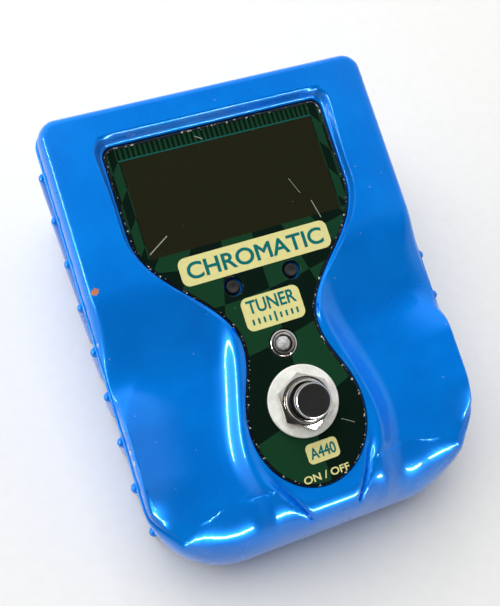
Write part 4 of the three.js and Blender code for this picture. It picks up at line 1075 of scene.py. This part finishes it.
BUSH_LOW, BUSH_HIGH, BUSH_BORE = -10.3, 7.0, 5.2
bush_profile = [(BUSH_BORE, BUSH_LOW), (BUSH_R - 0.3, BUSH_LOW)]
bush_profile += threads(BUSH_R, BUSH_LOW + 0.3, BUSH_HIGH - 1.1, 0.75, 0.22)
bush_profile += [(BUSH_R, BUSH_HIGH - 1.0), (BUSH_R, BUSH_HIGH - 0.4), (BUSH_R - 0.12, BUSH_HIGH - 0.12),
                 (BUSH_R - 0.4, BUSH_HIGH), (BUSH_BORE, BUSH_HIGH - 0.1)]
bush = turned("switch_bush", bush_profile, on_switch, chrome_finish, 80)
stand_for(bush, "housing", "chrome", "footswitch_bush")

cap_finish = Finish("plunger_nickel", Metallic=1.0)
above_face = cap_finish.axis((0, -TILT_SIN, TILT_COS), (0, FACE_Y, FACE_Z))
CAP_R, CAP_LOW, CAP_TOP = 4.9, -7.0, 12.1
# The plunger's flat top is given a dark colour and more roughness.
cap_top_dark = above_face.rise(CAP_TOP - 0.12, CAP_TOP - 0.02)
cap_scratches = cap_finish.noise(1.4, 5)
CAP_DARK = (0.1, 0.104, 0.1, 1)
cap_finish.set(Base_Color=cap_finish.mix(cap_top_dark, NICKEL, CAP_DARK),
               Roughness=0.09 + cap_top_dark * 0.33 + cap_scratches.rise(0.55, 0.8) * 0.12)
cap_finish.bump(cap_scratches, 0.006)
cap_profile = ((0, CAP_LOW), (CAP_R, CAP_LOW), (CAP_R, 7.4),
               (CAP_R - 0.18, 7.7), (CAP_R - 0.18, 8.0), (CAP_R, 8.3),
               (CAP_R, CAP_TOP - 0.7), (CAP_R - 0.12, CAP_TOP - 0.35), (CAP_R - 0.38, CAP_TOP - 0.1),
               (CAP_R - 0.6, CAP_TOP - 0.03), (CAP_R - 0.9, CAP_TOP - 0.01),
               (CAP_R - 2.4, CAP_TOP), (0, CAP_TOP))
plunger = turned("switch_plunger", cap_profile, on_switch, cap_finish, 80)
stand_for(plunger, "footswitch_plunger", "chrome", "footswitch_cap")

# ---- Jacks and power inlet ---------------------------------------------------------------
# Two 6.35 mm sockets in black moulded bodies with nickel-plated threaded ends, each held in the
# rear wall by a washer and a nut, and between them a moulded power inlet with its own ring nut.
JACK_BORE = 3.4
steel_finish = Finish("plain_steel", Metallic=1.0)
steel_finish.dress(steel_finish.noise(1.2, 4), (grey(0.45), grey(0.62, 0.02)), 0.28, 0.16, 0.01)
JACK_OUT, WALL_INNER = 3.4, -WALL - GAP


def boxed(piece, low, high, bevel=0.4):
    """Adds a bevelled box from corner to corner, in millimetres, to a piece."""
    shape = bmesh.new()
    shape.from_mesh(piece.data)
    made = bmesh.ops.create_cube(shape, size=1)
    for corner_point in made["verts"]:
        corner_point.co = Vector([lerp(low[k], high[k], corner_point.co[k] + 0.5) * MM for k in range(3)])
    edges = list({edge for vertex in made["verts"] for edge in vertex.link_edges})
    bmesh.ops.bevel(shape, geom=edges, offset=bevel * MM, segments=3, affect="EDGES", profile=0.6)
    shape.to_mesh(piece.data)
    shape.free()


JACK_HALF, JACK_HALF_TALL, JACK_HOLLOW, MOULDING_DEEP = 7.5, 7, 4.9, 24
JACK_WRENCH, JACK_NUT_LOW, JACK_NUT_HIGH = 12.1, 1.2, 3.1
RING_WIDE, RING_LOW, RING_HIGH, RING_EASE = 7.6, 0.3, 0.9, 0.1
ring_profile = ((JACK_HOLLOW, RING_LOW), (RING_WIDE - RING_EASE, RING_LOW), (RING_WIDE, RING_LOW + RING_EASE),
                (RING_WIDE, RING_HIGH - RING_EASE), (RING_WIDE - RING_EASE, RING_HIGH),
                (JACK_HOLLOW, RING_HIGH))
TUBE_IN, TUBE_OUT = JACK_BORE - 0.05, JACK_BORE + 1.4
tube_profile = ((TUBE_IN, WALL_INNER - MOULDING_DEEP), (TUBE_OUT, WALL_INNER - MOULDING_DEEP),
                (TUBE_OUT, WALL_INNER - 1.1), (TUBE_IN, WALL_INNER - 1.1))
for name, side in (("input", 1), ("output", -1)):
    x0 = side * JACK_X
    back_y, front_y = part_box(f"{name}_jack_body")[0].y / MM, REAR_Y + WALL_INNER
    sleeve = [(JACK_BORE, WALL_INNER - 1), (JACK_THREAD, WALL_INNER - 1)]
    sleeve += threads(JACK_THREAD, WALL_INNER - 0.8, JACK_OUT - 0.4, 0.7, 0.2)
    sleeve += [(JACK_THREAD - 0.3, JACK_OUT), (JACK_BORE + 0.35, JACK_OUT), (JACK_BORE, JACK_OUT - 0.35)]
    jack = turned(f"{name}_jack_sleeve", sleeve, rear_place(x0), chrome_finish, 64)
    stand_for(jack, "housing", "chrome")
    body = turned(f"{name}_jack_moulding", tube_profile, rear_place(x0), black_finish, 48)
    for low_x, high_x in ((-JACK_HALF, -JACK_HOLLOW), (JACK_HOLLOW, JACK_HALF)):
        boxed(body, (x0 + low_x, back_y, JACK_Z - JACK_HALF_TALL),
              (x0 + high_x, front_y, JACK_Z + JACK_HALF_TALL))
    inner = JACK_HOLLOW - 0.1
    for low_z, high_z in ((-JACK_HALF_TALL, -JACK_HOLLOW), (JACK_HOLLOW, JACK_HALF_TALL)):
        boxed(body, (x0 - inner, back_y, JACK_Z + low_z), (x0 + inner, front_y, JACK_Z + high_z))
    boxed(body, (x0 - inner, back_y, JACK_Z - inner), (x0 + inner, back_y + 1.2, JACK_Z + inner), 0.2)
    stand_for(body, "housing", "black_plastic", f"{name}_jack_body")
    ring = turned(f"{name}_jack_ring", ring_profile, rear_place(x0), steel_finish, 64)
    stand_for(ring, "housing", "steel", f"{name}_jack_washer")
    jack_nut = hexagon_nut(f"{name}_jack_hexagon", rear_place(x0), JACK_WRENCH, JACK_THREAD + ON_THREAD,
                           JACK_NUT_LOW, JACK_NUT_HIGH, chrome_finish, turn=side * 0.2)
    stand_for(jack_nut, "housing", "chrome", f"{name}_jack_nut")

DC_BORE, DC_OUT, DC_PIN, DC_DEEP, PIN_SUNK = 2.9, 2.4, 1.0, 11, 1.5
pin_profile = ((0, DC_OUT - DC_DEEP), (DC_PIN, DC_OUT - DC_DEEP), (DC_PIN, DC_OUT - PIN_SUNK - 0.3),
               (DC_PIN - 0.3, DC_OUT - PIN_SUNK), (0, DC_OUT - PIN_SUNK))
inlet = turned("power_inlet", pin_profile, rear_place(0), chrome_finish, 32)
stand_for(inlet, "housing", "chrome")
shell = [(DC_BORE, DC_OUT - DC_DEEP), (DC_THREAD, DC_OUT - DC_DEEP)]
shell += threads(DC_THREAD, WALL_INNER + 0.2, DC_OUT - 0.3, 0.7, 0.15)
shell += [(DC_THREAD - 0.25, DC_OUT), (DC_BORE + 0.25, DC_OUT), (DC_BORE, DC_OUT - 0.25)]
inlet_shell = turned("power_inlet_moulding", shell, rear_place(0), black_finish, 48)
INLET_HALF, INLET_HALF_TALL = 5, 6
boxed(inlet_shell, (-INLET_HALF, REAR_Y + WALL_INNER - 13, JACK_Z - INLET_HALF_TALL),
      (INLET_HALF, REAR_Y + DC_OUT - DC_DEEP - 0.1, JACK_Z + INLET_HALF_TALL))
stand_for(inlet_shell, "housing", "black_plastic", "dc_inlet_body")
INLET_NUT_R, INLET_NUT_HOLE, INLET_NUT_LOW, INLET_NUT_HIGH = 5.6, 4.3, 0.3, 2.1
inlet_nut_profile = ((INLET_NUT_HOLE, INLET_NUT_LOW), (INLET_NUT_R - 0.2, INLET_NUT_LOW),
                     (INLET_NUT_R, INLET_NUT_LOW + 0.2), (INLET_NUT_R, INLET_NUT_HIGH - 0.3),
                     (INLET_NUT_R - 0.25, INLET_NUT_HIGH), (INLET_NUT_HOLE, INLET_NUT_HIGH))
inlet_nut = turned("power_inlet_nut", inlet_nut_profile, rear_place(0), black_finish, 48)
stand_for(inlet_nut, "housing", "black_plastic", "dc_inlet_nut")

# ---- Base plate, battery door and its pin ------------------------------------------------
# A pressed steel plate with black powder paint closes the casing, and a moulded door in it turns
# on a steel pin through three knuckles. Edges are broken, as pressed and moulded edges are.
powder_finish = Finish("powder_black", Coat_Weight=0.1)
powder_rub = powder_finish.noise(0.12, 4).rise(0.5, 0.8)
powder_finish.dress(powder_finish.noise(3.0, 3), (grey(0.016), grey(0.05)), 0.5, 0.25, 0.04, tint=powder_rub)


def eased(piece_name, node, body, slot, finish, bevel=0.25):
    """A copy of a node's mesh, merged and with its sharp edges broken."""
    mesh = frame["nodes"][node].data.copy()
    shape = bmesh.new()
    shape.from_mesh(mesh)
    bmesh.ops.remove_doubles(shape, verts=shape.verts, dist=2e-6)
    bmesh.ops.dissolve_limit(shape, angle_limit=math.radians(1), verts=shape.verts, edges=shape.edges)
    folded = [edge for edge in shape.edges if len(edge.link_faces) == 2]
    sharp = [edge for edge in folded if edge.calc_face_angle(0) > math.radians(40)]
    bmesh.ops.bevel(shape, geom=sharp, offset=bevel * MM, segments=2, affect="EDGES", profile=0.6,
                    clamp_overlap=True)
    bmesh.ops.triangulate(shape, faces=[face for face in shape.faces if len(face.verts) > 4])
    shape.to_mesh(mesh)
    shape.free()
    mesh.name = piece_name
    mesh.materials.clear()
    mesh.materials.append(finish.material)
    mesh.shade_smooth()
    mesh.set_sharp_from_angle(angle=math.radians(35))
    stand_for(put(piece_name, mesh), body, slot, node)


eased("bottom_plate", "base_plate", "housing", "steel", powder_finish, 0.15)
eased("battery_lid", "battery_door", "door", "black_plastic", black_finish, 0.12)
eased("lid_pin", "door_hinge_pin", "housing", "steel", steel_finish, 0.1)

# ---- Base screws and feet ----------------------------------------------------------------
# Six cross-recessed steel screws fasten the plate to bosses in the casing, and four turned rubber
# feet are stuck on it.
screw_nodes = [f"base_screw_{i}" for i in range(1, 7)]
screw_boxes = [[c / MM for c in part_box(node)] for node in screw_nodes]
screw_points = [((low.x + high.x) / 2, (low.y + high.y) / 2, low.z) for low, high in screw_boxes]
screw_tree = Growth("screw_growth", Head=2.8, Thick=1.0, Shank=1.5, Long=9.5)


def bar(tree, radius, low, high, sides):
    """A round bar along z between two heights, given as sockets or metres."""
    made = tree.make("MeshCylinder", {}, {"Vertices": sides, "Radius": radius, "Depth": high - low})
    lift = tree.make("CombineXYZ", {}, {"Z": (high + low) * 0.5})
    return tree.make("Transform", {}, {"Geometry": made, "Translation": lift})


zero = screw_tree.size("Thick") * 0.0
head = bar(screw_tree, screw_tree.size("Head"), zero, screw_tree.size("Thick"), 32)
recess = screw_tree.make("JoinGeometry", {}, {})
CROSS_LONG, CROSS_WIDE, CROSS_DEEP = 2.6, 0.6, 1.0
for size in ((CROSS_LONG, CROSS_WIDE, CROSS_DEEP), (CROSS_WIDE, CROSS_LONG, CROSS_DEEP)):
    arm = screw_tree.make("MeshCube", {}, {"Size": [c * MM for c in size]})
    screw_tree.feed(recess.end.node.inputs[0], arm)
cutting = {"operation": "DIFFERENCE", "solver": "EXACT"}
cut_head = screw_tree.make("MeshBoolean", cutting, {0: head, 1: recess})
shank = bar(screw_tree, screw_tree.size("Shank"), screw_tree.size("Thick"), screw_tree.size("Long"), 16)
screw = screw_tree.make("JoinGeometry", {}, {})
screw_tree.feed(screw.end.node.inputs[0], cut_head)
screw_tree.feed(screw.end.node.inputs[0], shank)
placed = screw_tree.make("InstanceOnPoints", {}, {"Points": screw_tree.size("Geometry"), "Instance": screw})
screws = screw_tree.grow("plate_screws", screw_points, placed, steel_finish.material)
stand_for(screws, "housing", "steel", *screw_nodes)

rubber_finish = Finish("black_rubber")
rubber_finish.dress(rubber_finish.noise(1.5, 5), (grey(0.012), grey(0.035)), 0.75, 0.2, 0.05)
FOOT_R, FOOT_TALL, DIMPLE = 6, 2.0, 0.35
foot_profile = ((0, DIMPLE), (2.6, DIMPLE), (3.2, 0.05), (3.6, 0), (FOOT_R - 0.8, 0), (FOOT_R - 0.3, 0.15),
                (FOOT_R - 0.05, 0.6), (FOOT_R, FOOT_TALL), (0, FOOT_TALL))


def floor_place(x0, y0):
    return lambda a, b, h: (x0 + a, y0 + b, h)


for number in range(1, 5):
    low, high = (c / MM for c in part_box(f"foot_{number}"))
    under_foot = floor_place((low.x + high.x) / 2, (low.y + high.y) / 2)
    pad = turned(f"rubber_foot_{number}", foot_profile, under_foot, rubber_finish, 48)
    stand_for(pad, "housing", "rubber", f"foot_{number}")

# ---- Inner pieces ------------------------------------------------------------------------
# What the casing holds: the framed display and its light, the two boards with their parts and
# flat cable, the back of the footswitch, and the battery in its bay.
board_finish = Finish("green_board", Coat_Weight=0.5, Roughness=0.35)
TRACKS_PER_MM, TRACK_WIDE = 0.16, 0.04
brick = {"Vector": board_finish.place, "Scale": TRACKS_PER_MM / MM, "Mortar Size": TRACK_WIDE}
tracks = board_finish.make("TexBrick", {}, brick, "Fac")
board_finish.set(Base_Color=board_finish.mix(tracks, (0.012, 0.12, 0.045, 1), (0.03, 0.2, 0.08, 1)))
board_finish.bump(tracks, 0.05)
white_finish = Finish("white_moulding")
white_finish.dress(white_finish.noise(1.0, 3), (grey(0.72, 0.02), grey(0.82, 0.02)), 0.45, 0.15, 0.02)
glass_finish = Finish("display_glass", Coat_Weight=1.0)
GLASS_OLIVE, GLASS_OLIVE_LIGHT = (0.02, 0.022, 0.012, 1), (0.035, 0.04, 0.02, 1)
glass_finish.dress(glass_finish.noise(0.4, 2), (GLASS_OLIVE, GLASS_OLIVE_LIGHT), 0.06, 0.05)
jacket_finish = Finish("battery_wrap", Coat_Weight=0.6)
BAND_FROM, BAND_BLUR, JACKET_AMBER = 12.0, 0.4, (0.5, 0.3, 0.05, 1)
jacket_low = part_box("battery")[0] / MM
jacket_band = jacket_finish.axis((0, 1, 0), jacket_low[:]).rise(BAND_FROM, BAND_FROM + BAND_BLUR)
jacket_colours = (JACKET_AMBER, grey(0.02))
jacket_finish.dress(jacket_finish.noise(0.8, 3), jacket_colours, 0.25, 0.15, 0.01, tint=jacket_band)
INNER = {
    board_finish: ("display_board", "main_board"),
    white_finish: ("backlight", "ribbon_cable", "battery_bay"),
    glass_finish: ("lcd_glass",),
    jacket_finish: ("battery",),
    rubber_finish: ("zebra_strip_upper", "zebra_strip_lower", "battery_pad"),
    black_finish: ("tact_switch_left", "tact_switch_right", "footswitch_body", "processor_chip",
                   "battery_snap"),
    steel_finish: ("lcd_frame", "footswitch_lower_nut", *[f"footswitch_lug_{i}" for i in (1, 2, 3)],
                   *[f"board_standoff_{i}" for i in range(1, 5)]),
}
for finish, names in INNER.items():
    for name in names:
        node = frame["nodes"][name]
        node.data.materials.clear()
        node.data.materials.append(finish.material)
